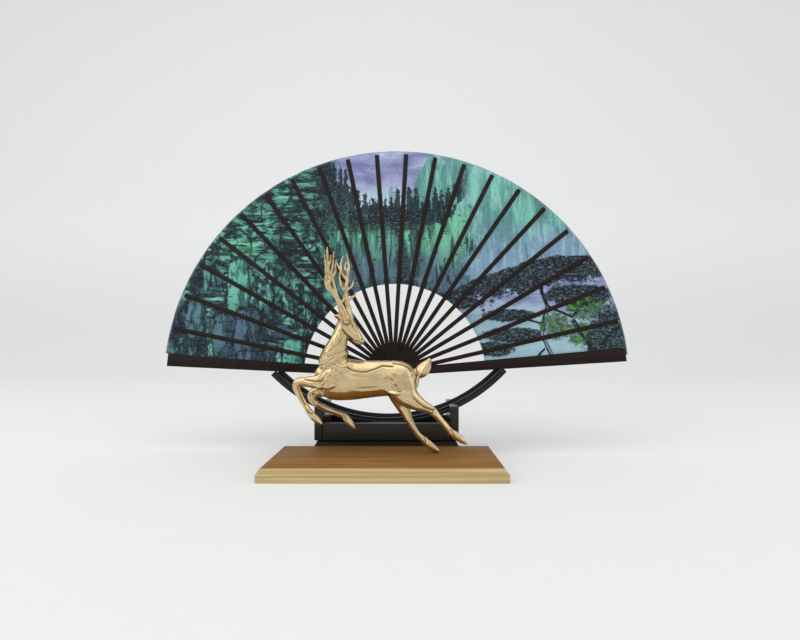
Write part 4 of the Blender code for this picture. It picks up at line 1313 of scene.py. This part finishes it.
class HANDFAN_OT_rivet(bpy.types.Operator):
    """The rivet through every stick, with a domed head, and its washer"""

    bl_idname = "handfan.rivet"
    bl_label = "Rivet"

    sides = 64
    dome_steps = 10
    play = 0.15 * MM
    head_radius = 3.6 * MM
    head_height = 1.4 * MM
    shank_radius = 1.5 * MM
    washer_thickness = 0.8 * MM
    # Radius and height above the washer's back, in millimetres: the rivet's closed end
    closed_end = ((1.5, 0.0), (2.5, 0.0), (2.35, -0.35), (1.8, -0.65), (0.9, -0.8), (0.0, -0.84))
    # Radius and height above the washer's own front, in millimetres: its rounded section
    washer = ((1.65, -0.1), (1.75, 0.0), (3.4, 0.0), (3.6, -0.2), (3.6, -0.6), (3.4, -0.8),
              (1.75, -0.8), (1.65, -0.7))

    def execute(self, context):
        front = rib_back(RIB_COUNT) + RIB_THICKNESS + LAYER_GAP + GUARD_THICKNESS
        back = rib_back(1) - LAYER_PITCH + RIB_THICKNESS - 2 * LAYER_GAP - GUARD_THICKNESS
        head = front + self.play
        seat = back - 2 * self.play - self.washer_thickness
        pin = []
        for step in range(self.dome_steps + 1):
            turn = math.pi / 2 * step / self.dome_steps
            pin.append((self.head_radius * math.sin(turn),
                        head + self.head_height * math.cos(turn)))
        pin.append((self.shank_radius, head))
        pin += [(radius * MM, seat + up * MM) for radius, up in self.closed_end]
        self.turn("rivet_pin", pin, "rivet", False)
        ring = [(radius * MM, back - self.play + up * MM) for radius, up in self.washer]
        self.turn("rivet_ring", ring, "rivet_washer", True)
        return {"FINISHED"}

    def turn(self, name, profile, node, closed):
        bm = bmesh.new()
        verts = [bm.verts.new((radius, 0.0, height)) for radius, height in profile]
        edges = [bm.edges.new(pair) for pair in zip(verts, verts[1:])]
        if closed:
            edges.append(bm.edges.new((verts[-1], verts[0])))
        bmesh.ops.spin(bm, geom=verts + edges, cent=(0.0, 0.0, 0.0), axis=(0.0, 0.0, 1.0),
                       angle=2 * math.pi, steps=self.sides, use_merge=True)
        bmesh.ops.remove_doubles(bm, verts=bm.verts[:], dist=1e-6)
        bmesh.ops.recalc_face_normals(bm, faces=bm.faces[:])
        bmesh.ops.transform(bm, matrix=FAN_FRAME, verts=bm.verts[:])
        belong(add_object(name, bm, plain_steel(), 40.0), "fan_core", "plain_steel", node)


# Stag --------------------------------------------------------------------------------------------
# A station is (x, z, y, half height, half width) in millimetres from the standing hoof's tip, with
# y counted from the stag's middle plane towards the back.

NEAR = -9.5
FAR = 9.5

TORSO = (
    (-135.5, 92.5, 0, 8, 8), (-131, 88.5, 0, 16, 13), (-122, 84.5, 0, 23, 16.5),
    (-103, 83.5, 0, 23, 16.5), (-81.5, 84, 0, 21, 15), (-62.5, 85, 0, 20, 14.5),
    (-47, 84.5, 0, 20, 16), (-36, 82.5, 0, 16, 14), (-30, 81.5, 0, 10, 9))
NECK = (
    (-117, 90.5, 0, 18, 14), (-120, 104.5, 0, 17, 12), (-118, 116, 0, 13.5, 9.5),
    (-114.5, 127, 0, 10, 7.5), (-111, 138, 0, 8.6, 7), (-109, 145, 0, 8, 7))
HEAD = (
    (-112.5, 152, 0, 4.5, 4), (-109, 149, 0, 9, 7.4), (-103, 142.5, 0, 8.6, 7),
    (-98, 135.4, 0, 7.2, 5.4), (-92.8, 129.2, 0, 6, 4.6), (-89.6, 126.2, 0, 4.4, 3.8))
TAIL = (
    (-36, 88.5, 0, 6, 6), (-27.5, 90, 0, 6.4, 5.6), (-21, 94, 0, 7.8, 6),
    (-16.5, 99.5, 0, 6.4, 5.2), (-12.5, 106, 0, 2.4, 2.4))
NEAR_FORELEG = (
    (-120, 83, -6, 15, 7), (-135.5, 81.5, NEAR, 8.5, 6), (-149, 81.5, NEAR, 5.8, 4.8),
    (-159, 81, NEAR, 4.8, 4), (-160, 74.5, NEAR, 4.2, 3.6), (-155, 64, NEAR, 3.5, 3.1),
    (-148.5, 53, NEAR, 3.3, 3), (-144.5, 47, NEAR, 3.9, 3.6))
NEAR_FOREHOOF = (
    (-146, 49, NEAR, 2.8, 2.8), (-142.5, 44.5, NEAR, 4.3, 4), (-137, 39.5, NEAR, 3.8, 3.6),
    (-131.5, 35, NEAR, 1.4, 2))
FAR_FORELEG = (
    (-122, 78, 6, 13, 7), (-136, 70, FAR, 7.5, 5.6), (-146, 67, FAR, 4.8, 4.2),
    (-145.5, 60, FAR, 4.2, 3.7), (-136, 52.5, FAR, 3.6, 3.2), (-120, 45.5, FAR, 3.2, 3),
    (-110, 42, FAR, 3.4, 3.1), (-107, 40, FAR, 3.9, 3.6))
FAR_FOREHOOF = (
    (-109.5, 41, FAR, 2.8, 2.8), (-106, 37.5, FAR, 4.2, 4), (-101.5, 32, FAR, 3.7, 3.5),
    (-97, 27, FAR, 1.4, 2))
NEAR_HINDLEG = (
    (-51.5, 87, -4, 17, 9), (-44, 76.5, -8, 17, 9.5), (-36, 64.5, NEAR, 12.5, 8),
    (-24.5, 57, NEAR, 8, 6), (-13.5, 52, NEAR, 5.2, 4.4), (-8, 47.5, NEAR, 4.6, 3.9),
    (0, 38.5, NEAR, 3.6, 3.2), (7.5, 29.5, NEAR, 3.4, 3), (11.5, 25, NEAR, 4.1, 3.6))
NEAR_HINDHOOF = (
    (9.5, 27, NEAR, 2.8, 2.8), (14.5, 23.5, NEAR, 4.4, 4), (21.5, 18, NEAR, 4.2, 3.8),
    (28, 13, NEAR, 1.4, 2))
FAR_HINDLEG = (
    (-50, 80, 4, 15, 9), (-47, 66, 8, 12, 8.5), (-43, 54, FAR, 8.5, 6.5),
    (-38, 42, FAR, 5.4, 4.6), (-33, 32, FAR, 4, 3.5), (-26, 21, FAR, 3.5, 3.1),
    (-20, 15.5, FAR, 3.5, 3.2), (-17, 13.5, FAR, 4, 3.6))
FAR_HINDHOOF = (
    (-19.5, 14.5, FAR, 2.8, 2.8), (-15, 10.8, FAR, 4.6, 4), (-8, 5, FAR, 4.4, 4),
    (-2.5, 1.9, FAR, 2.4, 3))
BROW = ((-113, 151.5, 0, 3.5, 6), (-107.5, 152.2, 0, 4.5, 7), (-101.5, 148, 0, 4.4, 6),
        (-97, 142.5, 0, 3.4, 4))
JAW = ((-111, 143, 0, 6.5, 6.6), (-105.5, 138.5, 0, 6, 6), (-99.5, 132, 0, 4.4, 4.6),
       (-94, 127.6, 0, 3.6, 4), (-90.6, 125.4, 0, 2.4, 3))
MUZZLE = ((-95.4, 131.4, 0, 5.6, 4.8), (-90.8, 127.4, 0, 5.2, 4.8), (-88.4, 125.4, 0, 3.8, 3.9))
EARS = (
    ((-110.5, 151, -6, 1.8, 1.6), (-113, 152.6, -8, 2.7, 1.7), (-115.8, 153.8, -9.4, 2.9, 1.9),
     (-117.8, 153.6, -10.2, 1.8, 1.3)),
    ((-110, 152, 6, 1.6, 1.6), (-112, 155, 8.6, 2.6, 1.3), (-114, 157.4, 11, 2.7, 1.2),
     (-115.6, 159.4, 13, 1.3, 0.8)))
MELTED = (TORSO, NECK, HEAD, TAIL, NEAR_FORELEG, NEAR_FOREHOOF, FAR_FORELEG, FAR_FOREHOOF,
          NEAR_HINDLEG, NEAR_HINDHOOF, FAR_HINDLEG, FAR_HINDHOOF, BROW, JAW, MUZZLE, *EARS)

# The eyes, in the same millimetres
EYE = (-104.9, 147.8)
EYE_ASIDE = 7.1  # from the stag's middle plane
EYEBALL = 1.9
EYEBALL_SHAPE = (1.15, 0.75, 0.95, 1.0)
LID_HALF_LENGTH = 2.6
LID_ARCH = 1.5
LID_RISE = 0.75  # above the eye's middle for the upper lid, and below it for the lower
LID_SLANT = 0.3
LID_THICKNESS = 0.42
LID_STEPS = 8
EYE_RING = tuple((EYE[0] + 4.1 * math.cos(math.radians(turn)),
                  EYE[1] + 3.6 * math.sin(math.radians(turn))) for turn in range(0, 361, 24))

# Chased relief on the skin: (kind, sides, width, height, points), in the stag's millimetres. A
# ridge stands up, a groove is cut in, a fold steps up on the left of its way and fades away, and a
# dent or swell is a soft round hollow or rise. Sides: -1 near, 1 far, 0 both.
RELIEF = (
    ("fold", 0, 6.5, 2.0, ((-101, 121), (-104.5, 117.4), (-113.4, 112.2), (-123.9, 108.4),
                           (-136, 107.5))),
    ("fold", 0, 4.0, 1.6, ((-102, 118), (-104.5, 115.6), (-118.6, 106.8), (-128, 100),
                           (-138, 98.4))),
    ("fold", 0, 5.0, 1.5, ((-113.9, 136.5), (-116.5, 127.4), (-123.9, 119.5), (-131, 112.5))),
    ("fold", 0, 4.5, 1.2, ((-108, 131), (-112.5, 123.5), (-121, 115), (-130, 110.8))),
    ("ridge", 0, 1.3, 0.7, ((-120.5, 131), (-125, 122), (-132, 113))),
    ("fold", 0, 4.5, 1.5, ((-103.5, 116), (-102.6, 109), (-104.4, 102), (-113.4, 96.9),
                           (-120.7, 101), (-124.5, 96))),
    ("fold", 0, 3.5, 1.5, ((-102.6, 103), (-104, 96.6), (-111.3, 96), (-113.4, 91.7),
                           (-119.7, 91.9), (-121.5, 87.4), (-128, 84.6), (-134.6, 78.4))),
    ("ridge", 0, 1.1, 0.9, ((-114.8, 106.2), (-118.6, 101.4), (-117.4, 97.2), (-114.4, 99.6))),
    ("fold", 0, 3.4, 1.2, ((-124, 100), (-128.4, 93), (-134, 86.4), (-138, 84))),
    ("fold", 0, 3.2, 1.1, ((-121, 92), (-126, 88.6), (-131.6, 82))),
    ("groove", 0, 0.9, 1.0, ((-103.9, 97.4), (-96.6, 94), (-89, 92.8), (-83, 92.8), (-73.6, 95.9),
                             (-65.2, 99.6), (-53.7, 98.8))),
    ("ridge", 0, 1.6, 0.5, ((-96.6, 92), (-83, 90.7), (-73.6, 93.8), (-65, 97.4))),
    ("groove", 0, 0.8, 0.7, ((-53.7, 102.4), (-44.2, 101), (-37.4, 98), (-33, 93))),
    ("ridge", 0, 1.7, 0.9, ((-66, 85.6), (-62.6, 88.2), (-57, 88.4), (-52.6, 85), (-50.5, 79.6))),
    ("dent", 0, 4.4, 1.3, ((-60.5, 84), (-56, 83.4))),
    ("ridge", 0, 1.4, 0.8, ((-60, 81.8), (-55, 80.8), (-50.4, 78.4))),
    ("groove", 0, 0.9, 0.8, ((-51.4, 79.4), (-49.6, 77.8))),
    ("dent", 0, 5.4, 1.4, ((-50, 75.4), (-43, 74))),
    ("ridge", 0, 1.6, 1.0, ((-63, 73.4), (-57.4, 70), (-50.6, 68.9), (-45, 69.7), (-42.2, 70.4))),
    ("groove", 0, 0.9, 0.8, ((-48, 71.4), (-44.6, 71.2))),
    ("dent", 0, 5.0, 1.0, ((-40.6, 84), (-37, 74))),
    ("swell", 0, 7.5, 1.2, ((-46, 92), (-40, 90))),
    ("ridge", -1, 1.8, 1.0, ((-39, 60.2), (-31, 55.6), (-23.4, 52.6))),
    ("groove", -1, 1.1, 0.9, ((-31, 64.6), (-26.4, 60), (-20.2, 54.8), (-9, 50.6))),
    ("groove", -1, 0.8, 0.8, ((-8.2, 52.2), (-10.6, 46.4))),
    ("ridge", -1, 1.0, 0.6, ((-6.4, 45.6), (1.4, 36), (8, 28.4))),
    ("ridge", -1, 1.8, 0.9, ((-157, 82.6), (-147, 80.6), (-136, 76.6), (-124, 75.6),
                             (-113.4, 80.6))),
    ("groove", -1, 1.0, 0.8, ((-150, 84.6), (-139, 82.6), (-131, 83.4))),
    ("ridge", -1, 1.0, 0.6, ((-157.4, 71.4), (-151.6, 59), (-147, 50.4))),
    ("groove", -1, 0.9, 0.7, ((-158.4, 76.4), (-154.4, 65), (-150, 56.4))),
    ("swell", -1, 1.9, 0.4, ((-108, 88.6), (-96, 84.6), (-80, 84))),
    ("swell", -1, 1.9, 0.35, ((-104, 79.6), (-90, 77.6), (-72, 78.4))),
    ("swell", -1, 1.9, 0.3, ((-100, 73.4), (-86, 71.6), (-70, 72.6))),
    ("dent", 1, 1.2, 1.8, ((-143.8, 66.2), (-143.6, 66))),
    ("ridge", 1, 0.9, 0.7, ((-138, 55.4), (-124, 48.8), (-112, 43.8))),
    ("groove", 1, 0.8, 0.7, ((-139, 51.6), (-125, 45.6), (-113, 41.4))),
    ("ridge", 1, 1.2, 0.7, ((-44.6, 50), (-38.4, 38.6), (-31, 28.4), (-23.4, 18.4))),
    ("ridge", 0, 0.8, 0.9, ((-111.2, 153.4), (-106.4, 153.6), (-100.6, 151.6), (-97.4, 148.6))),
    ("groove", 0, 0.8, 1.1, EYE_RING),
    ("groove", 0, 0.7, 0.8, ((-99.8, 146.4), (-97.8, 142.8))),
    ("ridge", 0, 1.5, 0.8, ((-103.4, 143), (-99, 137.4), (-95.4, 133.4))),
    ("dent", 0, 1.9, 0.8, ((-98.4, 141.4), (-94.6, 136))),
    ("groove", 0, 1.4, 0.9, ((-109.6, 139.4), (-105.4, 133.8), (-99.4, 128.2))),
    ("groove", 0, 0.6, 0.9, ((-96.6, 127), (-93, 126.2), (-89.6, 124.6), (-87, 123.2))),
    ("dent", 0, 0.9, 1.2, ((-88.2, 128.8), (-87.6, 128.2))),
    ("groove", 0, 1.6, 0.9, ((-114, 151.6), (-116.8, 153.6))),
    ("ridge", 0, 1.2, 1.0, ((-31, 92.4), (-29.6, 87.6), (-30.4, 83.6))),
    ("groove", 0, 0.8, 1.0, ((-28.6, 97), (-26.8, 91), (-27.4, 84.4))),
    ("ridge", 0, 1.5, 1.0, ((-23.6, 89.6), (-19.4, 96), (-15.6, 102), (-13.4, 106.4))),
    ("groove", -1, 0.7, 0.9, ((-148.2, 50.6), (-144.8, 47.4), (-141, 46.6))),
    ("groove", 1, 0.7, 0.9, ((-110.4, 43.8), (-108, 40), (-106.4, 35.8))),
    ("groove", -1, 0.7, 0.9, ((9.6, 29.8), (12.2, 26), (13.6, 21.4))),
    ("groove", 1, 0.7, 0.9, ((-18.4, 17.6), (-17, 13), (-18.4, 8.4))),
)

HOOF_CLEFTS = ((NEAR, (-141, 43.4), (-130, 33.6)), (FAR, (-105, 36.4), (-95.6, 25.4)),
               (NEAR, (15.4, 22.6), (29.6, 11.6)), (FAR, (-13, 9.2), (0, 0.4)))


def vertex_rows(mesh, field):
    """The vertices' co or normal as rows of three."""
    rows = np.zeros(len(mesh.vertices) * 3)
    mesh.vertices.foreach_get(field, rows)
    return rows.reshape(-1, 3)


def lift_skin(mesh, rise, crease):
    """Moves a skin along its normals by millimetres, and keeps the crease for its finish."""
    co = vertex_rows(mesh, "co") + vertex_rows(mesh, "normal") * (rise * MM)[:, None]
    mesh.vertices.foreach_set("co", co.ravel())
    kept = mesh.attributes.new("crease", "FLOAT", "POINT")
    kept.data.foreach_set("value", np.clip(crease, 0.0, 1.0).astype(np.float32))
    mesh.update()


def nearest_on_path(px, pz, points):
    """Distances to a path, the same with a sign that is positive on its left, and to its ends."""
    best = np.full(px.shape, 1e9)
    signed = np.zeros(px.shape)
    for (ax, az), (bx, bz) in zip(points, points[1:]):
        dx, dz = bx - ax, bz - az
        share = np.clip(((px - ax) * dx + (pz - az) * dz) / (dx * dx + dz * dz), 0.0, 1.0)
        ex, ez = px - ax - share * dx, pz - az - share * dz
        reach = np.hypot(ex, ez)
        nearer = reach < best
        side = np.sign(dx * ez - dz * ex)
        signed = np.where(nearer, side * reach, signed)
        best = np.where(nearer, reach, best)
    ends = np.minimum(np.hypot(px - points[0][0], pz - points[0][1]),
                      np.hypot(px - points[-1][0], pz - points[-1][1]))
    return best, signed, ends


def bell(reach, width):
    return np.exp(-(reach / width) ** 2)


# How dark the finish is in each kind of crease, from 0 to 1: toned metal in grooves and dents, and painted shadow
# under a fold's step
GROOVE_DARK = 0.95
FOLD_SHADOW_DARK = 0.85
SMALL_DENT_DARK = 0.9
LARGE_DENT_DARK = 0.3

# Widths in the stag's millimetres
SMALL_DENT = 1.3  # up to this width a dent counts as small
FOLD_EDGE = 0.55  # over which a fold steps down on the right of its way
# The painted shadow under a fold's step: its width, and how far beyond the step it lies
FOLD_SHADE = 0.6  # of the dark line under that step
FOLD_SHADE_OFFSET = 0.9
CLEFT_WIDTH = 0.75
CLEFT_DEPTH = 1.3
CLEFT_REACH = 6.0  # how far from its own line a cleft may cut


def chase(piece):
    """Works the relief into the stag's skin and keeps how deep each place is in a crease, with the painted shadow
    under each fold's step.
    """
    px, py, pz = ((vertex_rows(piece.data, "co") - np.array(STAG_ORIGIN)) / MM).T
    # The relief fades where the skin turns towards the stag's back and belly
    facing = np.clip(np.abs(vertex_rows(piece.data, "normal")[:, 1]) * 1.6, 0.0, 1.0)
    lift = np.zeros(len(px))
    crease = np.zeros(len(px))
    for kind, side, width, height, points in RELIEF:
        low = np.array(points).min(0) - width * 3
        high = np.array(points).max(0) + width * 3
        near = (px > low[0]) & (px < high[0]) & (pz > low[1]) & (pz < high[1])
        if side:
            near &= py * side > 1.0
        picked = np.nonzero(near)[0]
        if not len(picked):
            continue
        reach, signed, ends = nearest_on_path(px[picked], pz[picked], points)
        taper = np.clip(ends / (width * 1.2) + 0.25, 0.0, 1.0)
        rise = height * bell(reach, width) * facing[picked]
        dark = np.zeros(len(picked))
        if kind == "fold":
            shape = np.where(signed > 0, bell(signed, width), bell(signed, FOLD_EDGE))
            rise = height * shape * taper * facing[picked]
            # Painted shadow: a dark band just beyond the fold's step, where the step would cast its shade
            dark = bell(signed + FOLD_SHADE_OFFSET, FOLD_SHADE) * taper * FOLD_SHADOW_DARK
        elif kind in ("ridge", "swell"):
            rise *= taper
        elif kind == "groove":
            rise *= -taper
            dark = bell(reach, width) * GROOVE_DARK
        else:
            rise *= -1
            full = SMALL_DENT_DARK if width <= SMALL_DENT else LARGE_DENT_DARK
            dark = bell(reach, width) * full
        lift[picked] += rise
        crease[picked] = np.maximum(crease[picked], dark)
    for middle, start, tip in HOOF_CLEFTS:
        reach, _, _ = nearest_on_path(px, pz, (start, tip))
        dx, dz = tip[0] - start[0], tip[1] - start[1]
        share = ((px - start[0]) * dx + (pz - start[1]) * dz) / (dx * dx + dz * dz)
        cleft = bell(py - middle, CLEFT_WIDTH) * (reach < CLEFT_REACH) * np.clip(share, 0.0, 1.0)
        lift -= CLEFT_DEPTH * cleft
        crease = np.maximum(crease, cleft)
    lift_skin(piece.data, lift, crease)


class HANDFAN_OT_stag(bpy.types.Operator):
    """The leaping stag: one cast skin with its mane, muzzle, swirls and cloven hooves chased in"""

    bl_idname = "handfan.stag"
    bl_label = "Stag"

    passes = 7  # of smoothing, once the limbs are melted together

    def execute(self, context):
        bm = bmesh.new()
        for stations in MELTED:
            limb(bm, stations)
        body = melt("stag_casting", bm, sizes().stag_voxel, self.passes, champagne_gold())
        chase(body)
        belong(body, "stand", "champagne_gold", "stag_body")
        self.make_eyes()
        return {"FINISHED"}

    def make_eyes(self):
        """An eyeball between two lids on each side of the head."""
        for name, side in (("near_eye", -1), ("far_eye", 1)):
            bm = bmesh.new()
            place = Matrix.Translation(stag_point(*EYE, side * EYE_ASIDE))
            bmesh.ops.create_uvsphere(bm, u_segments=32, v_segments=20, radius=EYEBALL * MM,
                                      matrix=place @ Matrix.Diagonal(EYEBALL_SHAPE))
            for up in (1, -1):
                lid = []
                for step in range(LID_STEPS + 1):
                    turn = math.pi * step / LID_STEPS
                    rise = up * (LID_RISE + LID_ARCH * math.sin(turn)) - LID_SLANT * math.cos(turn)
                    lid.append((EYE[0] + LID_HALF_LENGTH * math.cos(turn), EYE[1] + rise,
                                side * (7.8 + up * 0.07), LID_THICKNESS, LID_THICKNESS))
                limb(bm, lid, 2, 10)
            bmesh.ops.recalc_face_normals(bm, faces=bm.faces[:])
            eye = add_object(name, bm, champagne_gold(), 60.0)
            belong(eye, "stand", "champagne_gold")


# An antler's branches, each a run of (x, z, y, radius)
NEAR_ANTLER = (
    ((-105.5, 151, -3, 4.2), (-107.6, 156, -4, 4.0), (-110.4, 163, -6, 3.3),
     (-113.4, 170, -7, 2.7), (-116.4, 176.6, -9, 2.4), (-120.4, 181.4, -10, 2.1),
     (-124, 188, -11, 1.7), (-123.8, 197, -11, 1.5), (-125.2, 208.4, -11, 1.4),
     (-125.6, 219, -11, 1.1), (-126, 230, -11, 0.6)),
    ((-121, 181, -10, 1.7), (-126, 186, -11, 1.7), (-127.6, 193.6, -12, 1.4),
     (-126.6, 201, -12, 1.2), (-127.6, 210, -13, 0.9), (-128.6, 222, -13, 0.5)),
    ((-115.4, 175, -8, 1.9), (-117.6, 184, -8, 1.6), (-120.6, 194, -8, 1.5),
     (-121.6, 203, -9, 1.2), (-119.8, 212, -10, 1.1), (-118.8, 225, -11, 0.6)),
    ((-121, 196, -8, 1.2), (-117.6, 203, -7, 1.1), (-117.6, 210, -7, 0.9), (-116.4, 217, -7, 0.5)),
    ((-125.2, 208, -11, 1.1), (-122.6, 214, -12, 0.9), (-121.6, 221, -13, 0.5)),
    ((-124, 190, -11, 1.2), (-121.6, 196, -13, 1.0), (-122.6, 203, -14, 0.5)),
    ((-112, 167, -6, 1.6), (-108.6, 172, -9, 1.1), (-107.6, 178, -10, 0.5)),
)
FAR_ANTLER = (
    ((-102, 151, 3, 4.0), (-102.8, 156, 4, 3.4), (-104, 163, 6, 2.7), (-106.4, 172, 7, 2.2),
     (-107.2, 181, 8, 2.0), (-106.6, 190, 8, 1.9), (-105.8, 198, 9, 1.7), (-104.2, 208.4, 9, 1.4),
     (-104.8, 217, 10, 1.0), (-106, 224.6, 10, 0.5)),
    ((-105.6, 172.4, 7, 1.5), (-101, 175.6, 8, 1.2), (-97.4, 178.6, 9, 1.0),
     (-96, 182.6, 9, 0.5)),
    ((-106.6, 184, 8, 1.4), (-102, 187.4, 9, 1.1), (-99.6, 191.4, 10, 0.9), (-98.6, 196, 10, 0.5)),
    ((-107, 181.6, 8, 1.6), (-111.6, 187.4, 8, 1.4), (-114.4, 196.4, 9, 1.1),
     (-114.2, 204, 10, 0.9), (-113, 209, 10, 0.5)),
    ((-106.4, 196, 9, 1.5), (-111.4, 203, 9, 1.3), (-113.4, 212, 10, 1.1), (-112, 219, 11, 0.8),
     (-110.4, 223.6, 11, 0.5)),
    ((-104.4, 204.6, 9, 1.1), (-108.4, 208.6, 10, 0.9), (-107.4, 215, 11, 0.8),
     (-105.6, 219, 11, 0.45)),
    ((-111.8, 203.6, 9, 1.0), (-115.6, 210.6, 10, 0.9), (-118.6, 216.6, 11, 0.5)),
)


class HANDFAN_OT_antlers(bpy.types.Operator):
    """The two branched antlers, their beams a little gnarled"""

    bl_idname = "handfan.antlers"
    bl_label = "Antlers"

    growth = 1.2  # how much stouter the branches are than their table says
    flute_depth = 0.16  # in millimetres
    passes = 4  # of smoothing, once the branches are melted together

    def execute(self, context):
        for name, branches, node in (("near_branches", NEAR_ANTLER, "near_antler"),
                                     ("far_branches", FAR_ANTLER, "far_antler")):
            bm = bmesh.new()
            for branch in branches:
                limb(bm, [(x, z, y, radius * self.growth, radius * self.growth * 0.9)
                          for x, z, y, radius in branch], 4, 14)
            antler = melt(name, bm, sizes().antler_voxel, self.passes, champagne_gold())
            self.gnarl(antler.data)
            belong(antler, "stand", "champagne_gold", node)
        return {"FINISHED"}

    def gnarl(self, mesh):
        """Shallow winding flutes along the beams; the flutes' floors are toned."""
        normals = vertex_rows(mesh, "normal")
        turn = np.arctan2(normals[:, 1], normals[:, 0])
        height = vertex_rows(mesh, "co")[:, 2] / MM
        wave = np.sin(turn * 5.0 + height * 0.35) * 0.5 + np.sin(height * 1.1 + turn * 2.0) * 0.3
        lift_skin(mesh, wave * self.flute_depth, -wave * 0.5)


# Panel and run -----------------------------------------------------------------------------------

OPERATORS = (HANDFAN_OT_stage, HANDFAN_OT_board, HANDFAN_OT_stand, HANDFAN_OT_cradle,
             HANDFAN_OT_sticks, HANDFAN_OT_leaf, HANDFAN_OT_rivet, HANDFAN_OT_stag,
             HANDFAN_OT_antlers)


class HANDFAN_PT_panel(bpy.types.Panel):
    """Lists the steps that build the ornament, and its sizes and colours"""

    bl_idname = "HANDFAN_PT_panel"
    bl_label = "Hand fan"
    bl_space_type = "VIEW_3D"
    bl_region_type = "UI"
    bl_category = "Hand fan"

    def draw(self, context):
        for step in OPERATORS:
            self.layout.operator(step.bl_idname)
        for group in (context.scene.handfan_sizes, context.scene.handfan_colours):
            box = self.layout.box()
            for name in group.__annotations__:
                box.prop(group, name)


CLASSES = (HANDFAN_PG_sizes, HANDFAN_PG_colours, *OPERATORS, HANDFAN_PT_panel)


def register():
    for kind in CLASSES:
        bpy.utils.register_class(kind)
    bpy.types.Scene.handfan_sizes = PointerProperty(type=HANDFAN_PG_sizes)
    bpy.types.Scene.handfan_colours = PointerProperty(type=HANDFAN_PG_colours)


def unregister():
    del bpy.types.Scene.handfan_colours
    del bpy.types.Scene.handfan_sizes
    for kind in reversed(CLASSES):
        bpy.utils.unregister_class(kind)


def main():
    register()
    for step in OPERATORS:
        group, name = step.bl_idname.split(".")
        getattr(getattr(bpy.ops, group), name)()
    with open("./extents.json", "w") as report:
        json.dump({"cad": [list(corner) for corner in CAD_BOX],
                   "visual": [list(corner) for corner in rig.bounds()]}, report)


if __name__ == "__main__":
    main()
